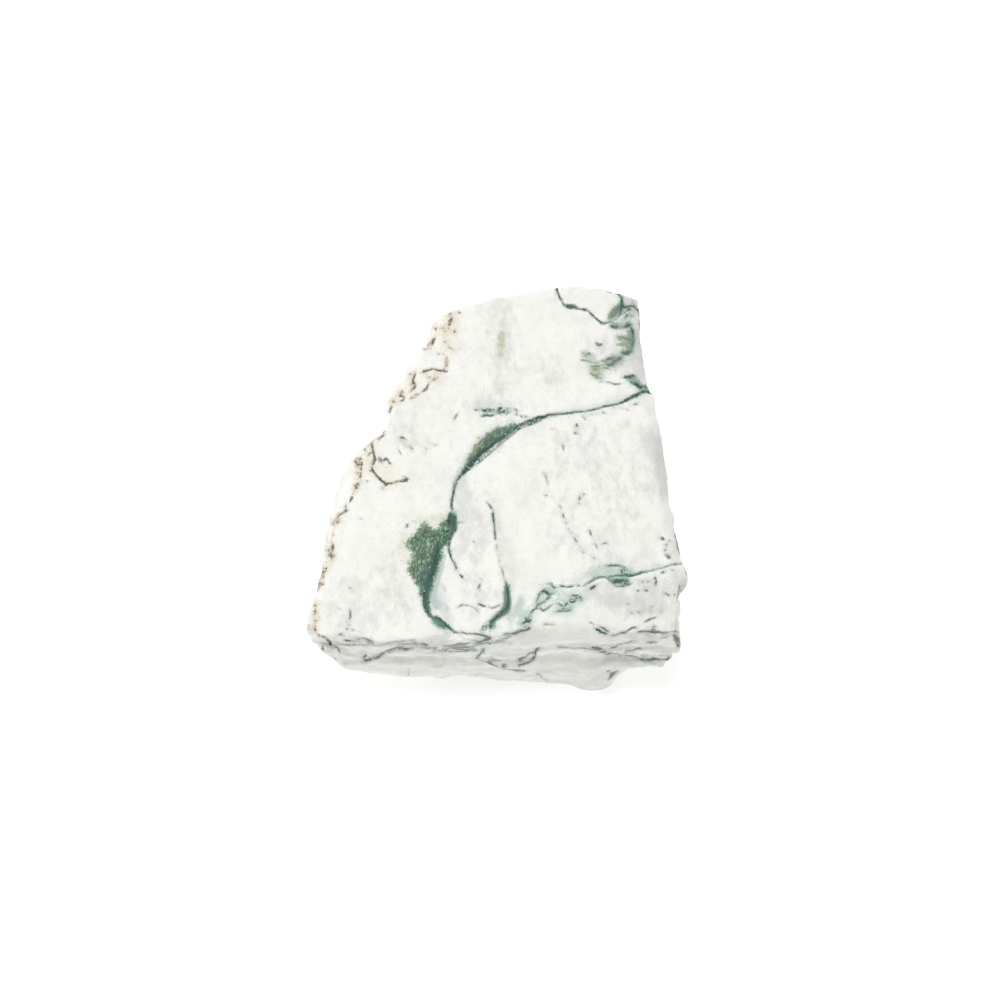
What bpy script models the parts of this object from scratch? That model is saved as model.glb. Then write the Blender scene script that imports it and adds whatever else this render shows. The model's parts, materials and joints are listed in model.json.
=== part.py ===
"""Tree agate: a rough slab of milky quartz with green seams, lying on a small flat spot."""

import bmesh
import bpy
from mathutils import Vector, noise
from mathutils.geometry import intersect_point_line

MM = 0.001

# Driving outlines, in millimetres: +X right, +Y away from the layered front face, +Z up.
# Each runs anticlockwise as seen from above, from the left end of the front face.

# The arris where the pale top face begins.
BROW = (
    (-34.2, -37.8, 22.8),
    (-28.5, -38.7, 24.0),
    (-21.0, -40.0, 24.6),
    (-14.5, -40.0, 24.8),
    (-10.5, -38.8, 25.0),
    (-3.5, -38.4, 25.0),
    (0.0, -39.4, 24.8),
    (4.0, -38.5, 25.2),
    (12.0, -37.4, 26.0),
    (17.5, -37.0, 26.0),
    (21.0, -38.3, 25.2),
    (26.0, -37.8, 25.0),
    (33.8, -37.6, 24.2),
    (34.2, -31.0, 24.6),
    (34.0, -22.0, 24.8),
    (32.8, -12.0, 24.6),
    (32.0, -2.0, 24.4),
    (31.0, 8.0, 24.6),
    (28.0, 18.0, 24.4),
    (25.5, 28.0, 24.0),
    (23.5, 36.0, 23.8),
    (16.0, 39.8, 24.2),
    (6.0, 38.4, 24.2),
    (-2.0, 36.0, 24.2),
    (-9.5, 33.2, 24.2),
    (-12.2, 28.5, 24.4),
    (-15.5, 20.5, 24.6),
    (-19.5, 12.5, 24.6),
    (-21.8, 6.0, 24.6),
    (-25.0, 0.0, 24.4),
    (-28.0, -8.5, 24.2),
    (-30.2, -14.5, 24.2),
    (-31.6, -22.0, 24.0),
    (-32.8, -30.0, 23.6),
)

# The widest outline of the stone.
RIM = (
    (-36.7, -35.4, 19.0),
    (-35.4, -37.8, 18.6),
    (-28.8, -39.2, 20.4),
    (-21.0, -40.4, 21.0),
    (-14.5, -40.6, 21.4),
    (-8.5, -40.4, 21.6),
    (0.0, -40.4, 21.6),
    (6.0, -39.6, 22.0),
    (12.0, -39.0, 22.4),
    (18.0, -38.6, 22.4),
    (22.0, -38.6, 22.0),
    (28.0, -38.4, 21.6),
    (35.4, -38.2, 21.0),
    (35.8, -31.0, 22.0),
    (35.8, -27.4, 22.0),
    (38.0, -25.2, 22.0),
    (37.0, -22.0, 22.0),
    (36.5, -18.0, 21.0),
    (35.5, -14.6, 22.0),
    (34.7, -8.0, 22.0),
    (34.7, -0.8, 21.0),
    (34.1, 4.0, 22.0),
    (33.0, 10.0, 22.6),
    (32.1, 16.0, 22.0),
    (31.2, 22.0, 21.0),
    (30.6, 28.0, 20.0),
    (30.5, 33.6, 20.0),
    (30.2, 40.4, 20.0),
    (26.6, 41.2, 21.0),
    (22.4, 41.4, 22.0),
    (16.4, 41.8, 23.0),
    (11.6, 40.8, 23.0),
    (5.5, 39.7, 23.0),
    (0.3, 38.5, 23.0),
    (-2.0, 37.8, 23.0),
    (-6.7, 37.0, 23.0),
    (-11.2, 35.3, 22.0),
    (-13.6, 32.2, 22.0),
    (-14.2, 27.5, 22.0),
    (-17.2, 24.3, 22.0),
    (-18.4, 20.0, 22.0),
    (-21.4, 14.2, 22.0),
    (-21.0, 10.6, 22.0),
    (-22.4, 6.4, 21.6),
    (-26.3, 4.2, 21.0),
    (-31.0, -0.4, 18.4),
    (-32.0, -2.8, 17.4),
    (-32.5, -6.0, 17.0),
    (-33.4, -12.6, 17.6),
    (-32.5, -17.8, 18.6),
    (-34.5, -25.8, 19.0),
    (-35.8, -30.0, 19.0),
)

# The lower edge, where the sides turn under.
FOOT = (
    (-35.3, -35.3, 14.8),
    (-33.3, -36.4, 12.8),
    (-31.6, -36.8, 11.3),
    (-29.2, -37.9, 9.2),
    (-24.3, -38.7, 7.6),
    (-19.2, -39.2, 6.2),
    (-16.5, -39.1, 5.5),
    (-12.6, -38.7, 5.2),
    (-8.7, -38.0, 4.7),
    (-1.3, -37.8, 4.2),
    (6.6, -38.5, 3.2),
    (13.5, -39.0, 2.6),
    (18.4, -40.1, 2.6),
    (21.9, -39.7, 3.0),
    (24.0, -38.8, 5.0),
    (25.6, -38.2, 8.0),
    (33.0, -39.2, 10.4),
    (35.8, -38.6, 12.6),
    (33.8, -30.0, 11.0),
    (32.6, -20.0, 8.0),
    (30.5, -8.0, 7.0),
    (30.5, 6.0, 8.5),
    (27.0, 20.0, 9.0),
    (26.5, 32.0, 10.5),
    (22.0, 37.0, 9.5),
    (10.0, 36.5, 7.5),
    (-2.0, 33.0, 8.0),
    (-10.0, 30.0, 9.0),
    (-14.5, 20.0, 8.0),
    (-19.0, 9.0, 7.5),
    (-25.5, 0.0, 8.0),
    (-29.5, -10.0, 9.5),
    (-32.0, -22.0, 11.0),
    (-34.2, -31.0, 13.0),
)

# The flat spot that the stone lies on, before the relief breaks its edge.
SPOT = (
    (-9.0, -19.0, 0.0),
    (2.0, -22.0, 0.0),
    (13.0, -18.0, 0.0),
    (16.0, -8.0, 0.0),
    (11.0, 4.0, 0.0),
    (5.0, 11.0, 0.0),
    (-7.0, 6.0, 0.0),
    (-11.0, -7.0, 0.0),
)

# Broken facets on the sides and underside, each a point on the plane and the way that it faces.
FACETS = (
    ((-22.0, 20.0, 6.0), (-0.72, 0.42, -0.55)),
    ((-33.0, -24.0, 9.0), (-0.75, -0.05, -0.66)),
    ((8.0, 39.5, 8.0), (0.05, 0.80, -0.60)),
    ((29.0, 36.0, 12.0), (0.66, 0.60, -0.45)),
    ((33.5, -2.0, 9.0), (0.86, 0.10, -0.50)),
    ((31.0, -30.0, 6.5), (0.55, -0.10, -0.83)),
    ((-26.0, -32.0, 4.5), (-0.38, -0.22, -0.90)),
    ((16.0, 24.0, 3.0), (0.25, 0.42, -0.87)),
)

# Relief of the top face, in millimetres. The seam's right-hand part is a low step down,
# and the ledge is a thin bed left standing along the right half of the front.
SEAM = (
    (31.0, 16.0),
    (21.5, 12.0),
    (10.8, 9.8),
    (2.4, 5.5),
    (-2.0, 1.0),
    (-5.6, -2.0),
    (-8.2, -7.5),
    (-8.8, -16.5),
    (-11.5, -24.0),
    (-12.5, -30.0),
    (-9.0, -38.0),
)
SEAM_DROP, SEAM_DROP_VARIES = 0.9, 0.9
SEAM_REACH = 7.0
SEAM_WIDTH, SEAM_WANDER = 2.4, 0.6
TONGUE_RIDGE = ((-1.8, -10.5), (0.2, -19.0), (1.8, -28.0))
TONGUE_HEIGHT = 0.7
TONGUE_WIDTH = 2.6
LEDGE_EDGE = ((36.0, -24.0), (20.0, -27.0), (9.0, -30.0), (5.0, -36.0))
LEDGE_HEIGHT = 0.8
LEDGE_LEFT_END = 4.0
FRONT_SLOPE = 0.14

# Beds of the side faces: the height above the base and how far that bed stands out.
BEDS = (
    (0.0, -0.4),
    (4.0, 0.5),
    (9.0, 0.9),
    (13.5, 0.5),
    (15.0, -0.7),
    (17.0, -0.9),
    (18.2, 0.2),
    (20.2, 0.3),
    (21.2, -0.5),
    (23.0, 0.0),
    (30.0, 0.0),
)
BED_DIP = 0.07
BED_WAVE, BED_WAVE_SIZE = 2.2, 17.0
BED_PATCH_SIZE, BED_PATCH_MEAN = 14.0, 0.5
BED_SHARE_BEHIND = 0.9

# The skin cut off to make the flat spot, and how wide its calm middle is.
SPOT_SKIN = 0.5
SPOT_CENTRE = Vector((2.5, -6.0, 0.0))
SPOT_CALM, SPOT_FADE = 6.0, 6.0

# How upright a surface's normal is where it starts to count as top or underside,
# and how much more it takes to be wholly so.
TOP_FROM, TOP_SPAN = 0.5, 0.4
UNDERSIDE_FROM, UNDERSIDE_SPAN = 0.3, 0.5

# Grain of the broken quartz.
VOXEL = 1.0
TRIANGLES = 9400
LUMP_SIZE, LUMP_DEPTH = 13.0, 0.55
BREAKS = ((17.0, 3.6), (7.5, 1.3))
BREAK_MEAN = 0.4
BREAKS_IN_FRONT = 0.15
BREAKS_AT_RIM, RIM_LOW, RIM_FADE = 0.12, 18.5, 6.0
HACKLE_SIZE, HACKLE_DEPTH = 3.2, 0.28
GRAIN_LOST_ON_TOP = 0.4


def clear_scene():
    for thing in list(bpy.data.objects):
        bpy.data.objects.remove(thing)


def add_ring(bm, outline):
    """A closed loop of edges through an outline's points."""
    verts = [bm.verts.new(Vector(point) * MM) for point in outline]
    return verts, [bm.edges.new((a, b)) for a, b in zip(verts, verts[1:] + verts[:1])]


def cut(bm, point, normal):
    """Break off what lies beyond a plane and close the break."""
    sliced = bmesh.ops.bisect_plane(
        bm,
        geom=bm.verts[:] + bm.edges[:] + bm.faces[:],
        plane_co=Vector(point) * MM,
        plane_no=Vector(normal),
        clear_outer=True,
    )
    edges = [part for part in sliced["geom_cut"] if isinstance(part, bmesh.types.BMEdge)]
    bmesh.ops.triangle_fill(bm, edges=edges, use_beauty=True)


def rough_block():
    """The stone as broken out: the four outlines joined, with the large facets cut."""
    bm = bmesh.new()
    rings = [add_ring(bm, outline) for outline in (BROW, RIM, FOOT, SPOT)]
    for (_, upper), (_, lower) in zip(rings, rings[1:]):
        bmesh.ops.bridge_loops(bm, edges=upper + lower)
    bm.faces.new(rings[0][0])
    bm.faces.new(reversed(rings[-1][0]))
    bmesh.ops.recalc_face_normals(bm, faces=bm.faces[:])
    for point, normal in FACETS:
        cut(bm, point, normal)
    mesh = bpy.data.meshes.new("agate")
    bm.to_mesh(mesh)
    bm.free()
    stone = bpy.data.objects.new("agate", mesh)
    bpy.context.collection.objects.link(stone)
    return stone


def apply_modifiers(stone):
    graph = bpy.context.evaluated_depsgraph_get()
    shaped = bpy.data.meshes.new_from_object(stone.evaluated_get(graph))
    stone.modifiers.clear()
    old = stone.data
    stone.data = shaped
    bpy.data.meshes.remove(old)
    shaped.name = "agate"


def between(value, table):
    """The table's second column at this value of its first, on straight lines."""
    for (low, start), (high, end) in zip(table, table[1:]):
        if value <= high:
            return start + (end - start) * max(0.0, value - low) / (high - low)
    return table[-1][1]


def smooth(value):
    """0 below 0, 1 above 1, and an even curve between."""
    held = min(1.0, max(0.0, value))
    return held * held * (3.0 - 2.0 * held)


def rise(value):
    """The same curve, centred on 0."""
    return smooth(0.5 + value)


def beside(place, path):
    """How far a place lies to the left of a path drawn from its first point, in millimetres."""
    spot = Vector((place.x, place.y, 0.0))
    best = None
    for start, end in zip(path, path[1:]):
        a, b = Vector((*start, 0.0)), Vector((*end, 0.0))
        foot, share = intersect_point_line(spot, a, b)
        near = a if share < 0 else b if share > 1 else foot
        gap = (spot - near).length
        if best is None or gap < abs(best):
            side = (b - a).cross(spot - a).z
            best = gap if side > 0 else -gap
    return best


def top_relief(place):
    """The low steps and ridges of the top face."""
    away = beside(place, SEAM) + SEAM_WANDER * noise.noise(place / HACKLE_SIZE)
    drop = SEAM_DROP + SEAM_DROP_VARIES * noise.noise(place / LUMP_SIZE)
    fade = max(0.0, 1.0 - abs(away) / SEAM_REACH)
    step = -drop * rise(away / SEAM_WIDTH) * fade
    from_ridge = beside(place, TONGUE_RIDGE)
    ridge = TONGUE_HEIGHT * smooth(1.0 - abs(from_ridge) / TONGUE_WIDTH)
    in_front = beside(place, LEDGE_EDGE)
    ledge = LEDGE_HEIGHT * rise(in_front) - FRONT_SLOPE * max(0.0, in_front)
    return step + ridge + (ledge if place.x > LEDGE_LEFT_END else 0.0)


def beds(place, facing):
    """The beds that stand out of the side faces, most of all at the front."""
    wave = BED_WAVE * noise.noise(place / BED_WAVE_SIZE)
    patchy = BED_PATCH_MEAN + noise.noise(place / BED_PATCH_SIZE)
    strength = max(smooth(-facing.y), BED_SHARE_BEHIND * patchy)
    return strength * between(place.z + BED_DIP * place.x + wave, BEDS)


def breaks(place):
    """Shallow hollows that meet in ridges, large and small, as broken quartz has."""
    depth = 0.0
    for size, deep in BREAKS:
        nearest = noise.voronoi(place / size)[0][0]
        depth += deep * (nearest * nearest - BREAK_MEAN)
    return depth


def grain(place):
    lumps = LUMP_DEPTH * noise.noise(place / LUMP_SIZE)
    hackle = HACKLE_DEPTH * noise.fractal(place / HACKLE_SIZE, 1.0, 2.0, 2)
    return lumps + hackle


def carve(stone):
    """Give the block its relief, straight up on the top face and outwards on the sides."""
    bm = bmesh.new()
    bm.from_mesh(stone.data)
    bm.normal_update()
    moves = []
    for vert in bm.verts:
        place = vert.co / MM
        up = smooth((vert.normal.z - TOP_FROM) / TOP_SPAN)
        down = smooth((-vert.normal.z - UNDERSIDE_FROM) / UNDERSIDE_SPAN)
        side = 1.0 - max(up, down)
        depth = grain(place) * (1.0 - GRAIN_LOST_ON_TOP * up)
        behind = max(BREAKS_IN_FRONT, smooth(1.0 + vert.normal.y))
        below = max(BREAKS_AT_RIM, smooth((RIM_LOW - place.z) / RIM_FADE))
        depth += side * beds(place, vert.normal)
        depth += max(down, side * behind * below) * breaks(place)
        if down > 0.0:
            depth *= smooth(((place - SPOT_CENTRE).length - SPOT_CALM) / SPOT_FADE)
        moves.append(vert.normal * depth + Vector((0.0, 0.0, up * top_relief(place))))
    for vert, move in zip(bm.verts, moves):
        vert.co += move * MM
    bm.to_mesh(stone.data)
    bm.free()


def settle(stone):
    """Cut the flat spot and stand the stone on it, centred over the origin."""
    bm = bmesh.new()
    bm.from_mesh(stone.data)
    cut(bm, (0.0, 0.0, SPOT_SKIN), (0.0, 0.0, -1.0))
    low = Vector(min(vert.co[axis] for vert in bm.verts) for axis in range(3))
    high = Vector(max(vert.co[axis] for vert in bm.verts) for axis in range(3))
    centre = (low + high) / 2.0
    bmesh.ops.translate(bm, verts=bm.verts[:], vec=(-centre.x, -centre.y, -low.z))
    bm.to_mesh(stone.data)
    bm.free()


def quartz():
    material = bpy.data.materials.new("milky quartz")
    material.use_nodes = True
    shader = material.node_tree.nodes["Principled BSDF"]
    shader.inputs["Base Color"].default_value = (0.84, 0.85, 0.81, 1.0)
    shader.inputs["Roughness"].default_value = 0.45
    return material


def main():
    clear_scene()
    stone = rough_block()
    remesh = stone.modifiers.new("even grain", "REMESH")
    remesh.mode = "VOXEL"
    remesh.voxel_size = VOXEL * MM
    apply_modifiers(stone)
    carve(stone)
    fewer = stone.modifiers.new("fewer faces", "DECIMATE")
    fewer.ratio = TRIANGLES / sum(len(face.vertices) - 2 for face in stone.data.polygons)
    apply_modifiers(stone)
    settle(stone)
    stone.data.materials.append(quartz())


main()
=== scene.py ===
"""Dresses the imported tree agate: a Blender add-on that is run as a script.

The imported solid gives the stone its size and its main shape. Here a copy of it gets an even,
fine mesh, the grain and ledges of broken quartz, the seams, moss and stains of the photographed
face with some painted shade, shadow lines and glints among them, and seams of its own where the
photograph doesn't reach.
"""

import json
import math

import bpy
import numpy as np
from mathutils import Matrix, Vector, noise
from mathutils.bvhtree import BVHTree

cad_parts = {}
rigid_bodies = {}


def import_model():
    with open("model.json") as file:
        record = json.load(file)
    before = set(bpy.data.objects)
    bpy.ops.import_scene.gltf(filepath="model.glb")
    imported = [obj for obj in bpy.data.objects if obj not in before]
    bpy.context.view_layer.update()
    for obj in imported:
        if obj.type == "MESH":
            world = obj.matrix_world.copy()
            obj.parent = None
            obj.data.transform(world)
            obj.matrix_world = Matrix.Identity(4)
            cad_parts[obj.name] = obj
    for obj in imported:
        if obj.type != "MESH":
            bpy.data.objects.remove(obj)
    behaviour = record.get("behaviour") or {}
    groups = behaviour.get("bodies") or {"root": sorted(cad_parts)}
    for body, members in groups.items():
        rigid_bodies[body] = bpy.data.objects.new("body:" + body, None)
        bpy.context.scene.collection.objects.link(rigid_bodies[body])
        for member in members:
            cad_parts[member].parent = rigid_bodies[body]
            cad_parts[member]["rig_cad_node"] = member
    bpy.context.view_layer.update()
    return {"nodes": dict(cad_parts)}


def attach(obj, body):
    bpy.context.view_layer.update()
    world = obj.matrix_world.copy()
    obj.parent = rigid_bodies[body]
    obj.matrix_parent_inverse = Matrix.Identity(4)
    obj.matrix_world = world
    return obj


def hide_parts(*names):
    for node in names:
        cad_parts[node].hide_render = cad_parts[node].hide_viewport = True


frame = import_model()
NODE = "agate"

bl_info = {
    "name": "Tree agate",
    "version": (1, 0, 0),
    "blender": (4, 5, 0),
    "location": "View3D > Sidebar > Agate",
    "description": "Finishes a rough slab of tree agate and sets the stage for it",
    "category": "Object",
}

MM = 0.001

# The photograph's camera. Its pixels are turned into places on the stone with it.
PICTURE_SIDE = 1000
ELEVATION = math.radians(62.0)
DISTANCE = 0.471
LENS, SENSOR = 85.0, 36.0
AIM = Vector((0.0005, -0.0044, 0.014))
BACK = Vector((0.0, -math.cos(ELEVATION), math.sin(ELEVATION)))
UP = Vector((0.0, math.sin(ELEVATION), math.cos(ELEVATION)))
EYE = AIM + BACK * DISTANCE
PIXEL_MM = SENSOR * DISTANCE / (LENS * PICTURE_SIDE * MM)

# Seams are paths of (across, down, half width), in pixels of the photograph. A path of one
# point is a spot.
GREEN_SEAMS = (
    # The long arc, from the right edge to the wide green wedge.
    (
        (660, 386, 1.4), (652, 391.5, 1.7), (645.5, 391, 1.5), (638, 394.3, 1.5),
        (631.8, 397.1, 1.3), (624, 401, 1.1), (617, 403.5, 0.9), (606, 406, 0.75),
        (592, 410, 0.75), (578, 411.8, 0.7), (564, 413.4, 0.85), (554.7, 414.5, 0.8),
        (549.8, 414.7, 1.3), (544, 417.3, 1.3), (539, 417.2, 1.1), (535.3, 419.4, 1.3),
        (530.4, 420.8, 1.5), (525.6, 421.5, 1.5), (520.5, 425.3, 1.3), (515.3, 428.5, 1.0),
        (508.6, 432.6, 1.2), (503.8, 436.4, 1.4), (498.9, 440, 1.4), (494.1, 443, 1.3),
        (489.2, 447.3, 1.5), (483.8, 451.5, 1.6), (478.9, 456.3, 1.5), (475.3, 461.2, 1.5),
        (471.1, 466, 1.5), (467.4, 469.7, 1.4), (462, 474.5, 1.15), (458, 479.5, 1.0),
        (455, 485.5, 1.1), (453.3, 494, 1.1), (451.6, 503.1, 1.1), (452.1, 509.2, 1.1),
    ),
    # Along the outside of the arc's pale strip.
    (
        (541.5, 419.4, 0.64), (535.9, 422.4, 0.72), (531, 424.6, 0.72), (524, 426.6, 0.48),
        (517.1, 430.6, 0.64), (513.5, 433.5, 0.64), (509.8, 436.6, 0.64), (505.6, 440.2, 0.56),
        (500.1, 444.2, 0.48), (495.3, 448.3, 0.56), (490.4, 453, 0.56), (485, 457.4, 0.56),
        (479.5, 462.2, 0.56), (476, 465.2, 0.32),
    ),
    # The arc beside the moss patch and the thread inside the teardrop.
    (
        (455.2, 515.8, 1.5), (454.7, 519.4, 1.5), (455.7, 522.4, 1.3), (455.5, 527, 1.5),
        (454.2, 531.6, 1.0),
    ),
    ((450.6, 513.8, 1.2), (449, 518, 1.4), (450, 524, 1.2)),
    (
        (450.5, 537.5, 1.1), (449.3, 542, 1.3), (449.1, 546, 1.1), (449.3, 552, 1.3),
        (451.6, 558.7, 1.1), (454.7, 563.8, 1.0), (456.4, 568.5, 0.9),
    ),
    ((460.4, 574.6, 0.9), (462.5, 577.5, 1.2)),
    # Across the far right corner.
    (
        (554.9, 285.7, 1.0), (558.7, 294.2, 1.1), (561.8, 300.3, 1.0), (563.7, 304.5, 0.9),
        (566.4, 306, 1.4), (570.6, 306.6, 1.9), (575.2, 307.4, 1.5), (579, 308.4, 1.0),
        (583.6, 309.5, 1.0), (588.2, 310.6, 0.9), (592, 314, 1.0), (596.2, 318.3, 0.9),
        (600.4, 321.7, 1.1), (603.5, 323.2, 1.2), (607.3, 322.1, 0.8), (611.5, 321.3, 0.7),
        (615.4, 319.4, 0.4), (617.7, 317.1, 0.4), (621.1, 312.9, 0.8), (621.5, 308.3, 1.1),
        (622.3, 303.7, 1.1), (621.9, 299.1, 0.9), (621.5, 296.4, 1.0), (617, 292.6, 0.6),
    ),
    (
        (623.4, 306.8, 0.9), (627.2, 306.8, 1.0), (631.8, 305.2, 0.9), (634.9, 306.8, 0.7),
        (638.7, 310.8, 0.7),
    ),
    ((624.2, 313.2, 0.8), (627.5, 310, 0.8), (630.7, 309.4, 0.7)),
    ((624.5, 318, 0.6), (628, 315.2, 0.7), (633, 316, 0.5)),
    ((625.4, 326.6, 1.1), (629.6, 324.4, 1.3)),
    ((631.4, 327.6, 0.8), (633.2, 331.6, 0.8), (633.6, 337.4, 0.6)),
    ((632.8, 341, 0.5), (632.2, 346, 0.4)),
    ((630.4, 351, 0.7), (626.6, 353.6, 1.3), (621.8, 352.8, 0.8)),
    ((627.4, 339.6, 0.5), (631, 340.4, 0.6)),
    ((612, 361.6, 0.9), (616.4, 359.6, 1.3), (621, 358.2, 1.0)),
    ((606.6, 365.2, 0.7), (611.4, 364.8, 0.9), (616, 363.4, 0.8)),
    ((611.2, 325.9, 1.0), (614.6, 326.9, 1.5), (618, 326.8, 0.8)),
    ((624.5, 377.2, 1.1), (629, 376.6, 1.4), (634, 376, 0.8)),
    ((631, 381.5, 1.0), (636, 384, 1.6), (641, 386.4, 1.4), (647, 386, 1.2)),
    # From the right edge along the top of the near right block.
    (
        (684, 563, 0.4), (675, 564.3, 0.5), (667, 566, 0.5), (657.7, 568.9, 0.5),
        (648, 571.3, 0.8), (643.6, 571.8, 0.9), (637.7, 573.4, 1.2), (629.5, 575.1, 1.6),
        (623, 575.4, 1.2), (616.5, 575.5, 0.7), (611.1, 576.1, 0.6), (605.7, 576.7, 0.6),
        (600.8, 576.5, 0.6), (595.9, 578, 0.6), (590.5, 581, 0.7), (586.2, 583.6, 0.7),
        (582.9, 585.7, 0.7),
    ),
    ((579.2, 585.2, 0.9), (577.2, 585.1, 0.8)),
    ((572.5, 586.2, 1.0), (568, 586.3, 0.9), (564, 586.2, 1.1), (560.5, 585.9, 0.8)),
    # The lenses above and below it.
    (
        (607.3, 565.8, 0.9), (612.2, 565.6, 0.9), (618.2, 565.6, 0.9), (622.5, 566.4, 0.6),
        (627, 569.4, 0.7),
    ),
    ((620.9, 570.2, 0.8), (622, 572.4, 0.9)),
    (
        (606.8, 577.8, 0.56), (609, 580.2, 0.56), (611.1, 582.1, 0.5), (615.4, 585.7, 0.56),
        (622, 586.3, 0.62), (628.5, 584.8, 0.62), (631.2, 583.5, 0.56),
    ),
    ((614.4, 581, 1.2), (620.9, 580.5, 1.5), (627.4, 581.4, 1.4)),
    ((591, 588.6, 1.2), (594.8, 585.9, 1.2)),
    # The loops and beads of its left end.
    ((548.2, 583.5, 0.52), (551.5, 583.9, 0.67), (553.1, 586.4, 0.81), (556, 587.2, 0.59)),
    (
        (541.5, 591.2, 0.89), (544.5, 590.9, 1.63), (546.6, 592.4, 1.41), (549.4, 594.9, 0.96),
        (552.4, 594, 0.52),
    ),
    ((549, 597.4, 0.81), (546, 599.6, 0.74)),
    ((540, 593, 0.59), (537.9, 596.8, 0.67), (536.8, 600.2, 0.67)),
    (
        (544.6, 602, 0.74), (541, 602.8, 0.67), (537.4, 606, 0.67), (534.6, 608.7, 0.81),
        (531.9, 611.4, 0.59), (530.3, 614.1, 0.44),
    ),
    ((539.8, 607.4, 0.59), (543.3, 610.1, 1.11), (546.6, 608.3, 0.67), (551.5, 605.4, 0.59)),
    (
        (559.3, 603.9, 0.81), (562.5, 605.5, 0.81), (566, 604.9, 1.11), (569.4, 602.4, 0.81),
        (575.3, 601.4, 0.81),
    ),
    (
        (570.8, 597.8, 0.59), (573, 595.9, 0.67), (576.8, 595.5, 0.74), (580, 597, 0.74),
        (581.5, 599.2, 0.67),
    ),
    ((576.2, 598.7, 0.74),),
    ((556.9, 611.7, 0.89), (563.4, 610.9, 0.74), (567, 611, 0.59), (570.4, 609.8, 0.89)),
    ((525, 617, 0.9), (526.4, 621, 1.3), (522.2, 623.3, 1.0)),
    ((530.6, 618.6, 1.1), (529.2, 622, 0.9)),
    ((525.6, 626.4, 0.9),),
    # The speckled band above the arc.
    ((475.9, 409.7, 1.0),),
    ((483, 409.6, 1.6), (485.4, 410.8, 1.2)),
    ((489.2, 409.2, 1.3), (488.9, 411.4, 0.9)),
    ((493, 409.3, 1.4),),
    ((498.7, 408.6, 1.4), (502.2, 407.9, 1.2)),
    ((497.4, 410.9, 1.0), (500.2, 413.7, 1.1)),
    ((503.8, 410.4, 1.5), (504, 413.4, 1.1)),
    ((507.4, 409.1, 1.0),),
    ((506.8, 412.9, 1.2), (509.2, 411.9, 1.0)),
    ((483.2, 415.7, 1.2), (486.2, 414.7, 1.1), (489.2, 415.3, 1.3), (493.5, 414.8, 1.0)),
    ((515.4, 409.6, 1.1), (517.4, 410.6, 0.9)),
    ((516.5, 414.6, 1.0),),
    ((521.7, 416.3, 0.9),),
    ((526.2, 416.3, 0.9),),
    # The moss patch's tail, and the dark edge of the lens that it ends in.
    (
        (426.4, 590, 2.2), (425.6, 595, 2.4), (425.3, 600, 2.2), (425.5, 605, 2.2),
        (427, 610, 2.4), (429.6, 614.4, 2.2), (433, 617.3, 1.3),
    ),
    (
        (434.6, 616.9, 1.0), (438, 617.9, 1.2), (442.5, 621.3, 1.0), (446, 624.3, 1.3),
        (449.6, 627.4, 1.3), (454.5, 631.8, 1.1),
    ),
    # Down the teardrop's right and back under it.
    (
        (493.4, 512, 0.7), (493.8, 520, 0.9), (494.4, 527, 0.6), (494.9, 533, 1.0),
        (495.6, 538.6, 0.8),
    ),
    (
        (505.5, 581, 0.7), (507.5, 588, 1.2), (508.2, 597, 1.1),
        (508.2, 604, 1.5), (505.6, 609, 1.7), (500.5, 613.8, 1.5), (495, 618.4, 1.4),
        (490.4, 622.2, 1.3),
    ),
    ((491, 625.2, 1.2), (490.6, 629, 1.2)),
    ((481.6, 630.5, 0.5), (483.4, 625.5, 0.7)),
    ((485.2, 630.5, 0.5), (486.8, 625, 0.7)),
    ((596.2, 629, 1.2), (600.3, 631.1, 1.3), (605.7, 634.2, 1.4)),
)
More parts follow.
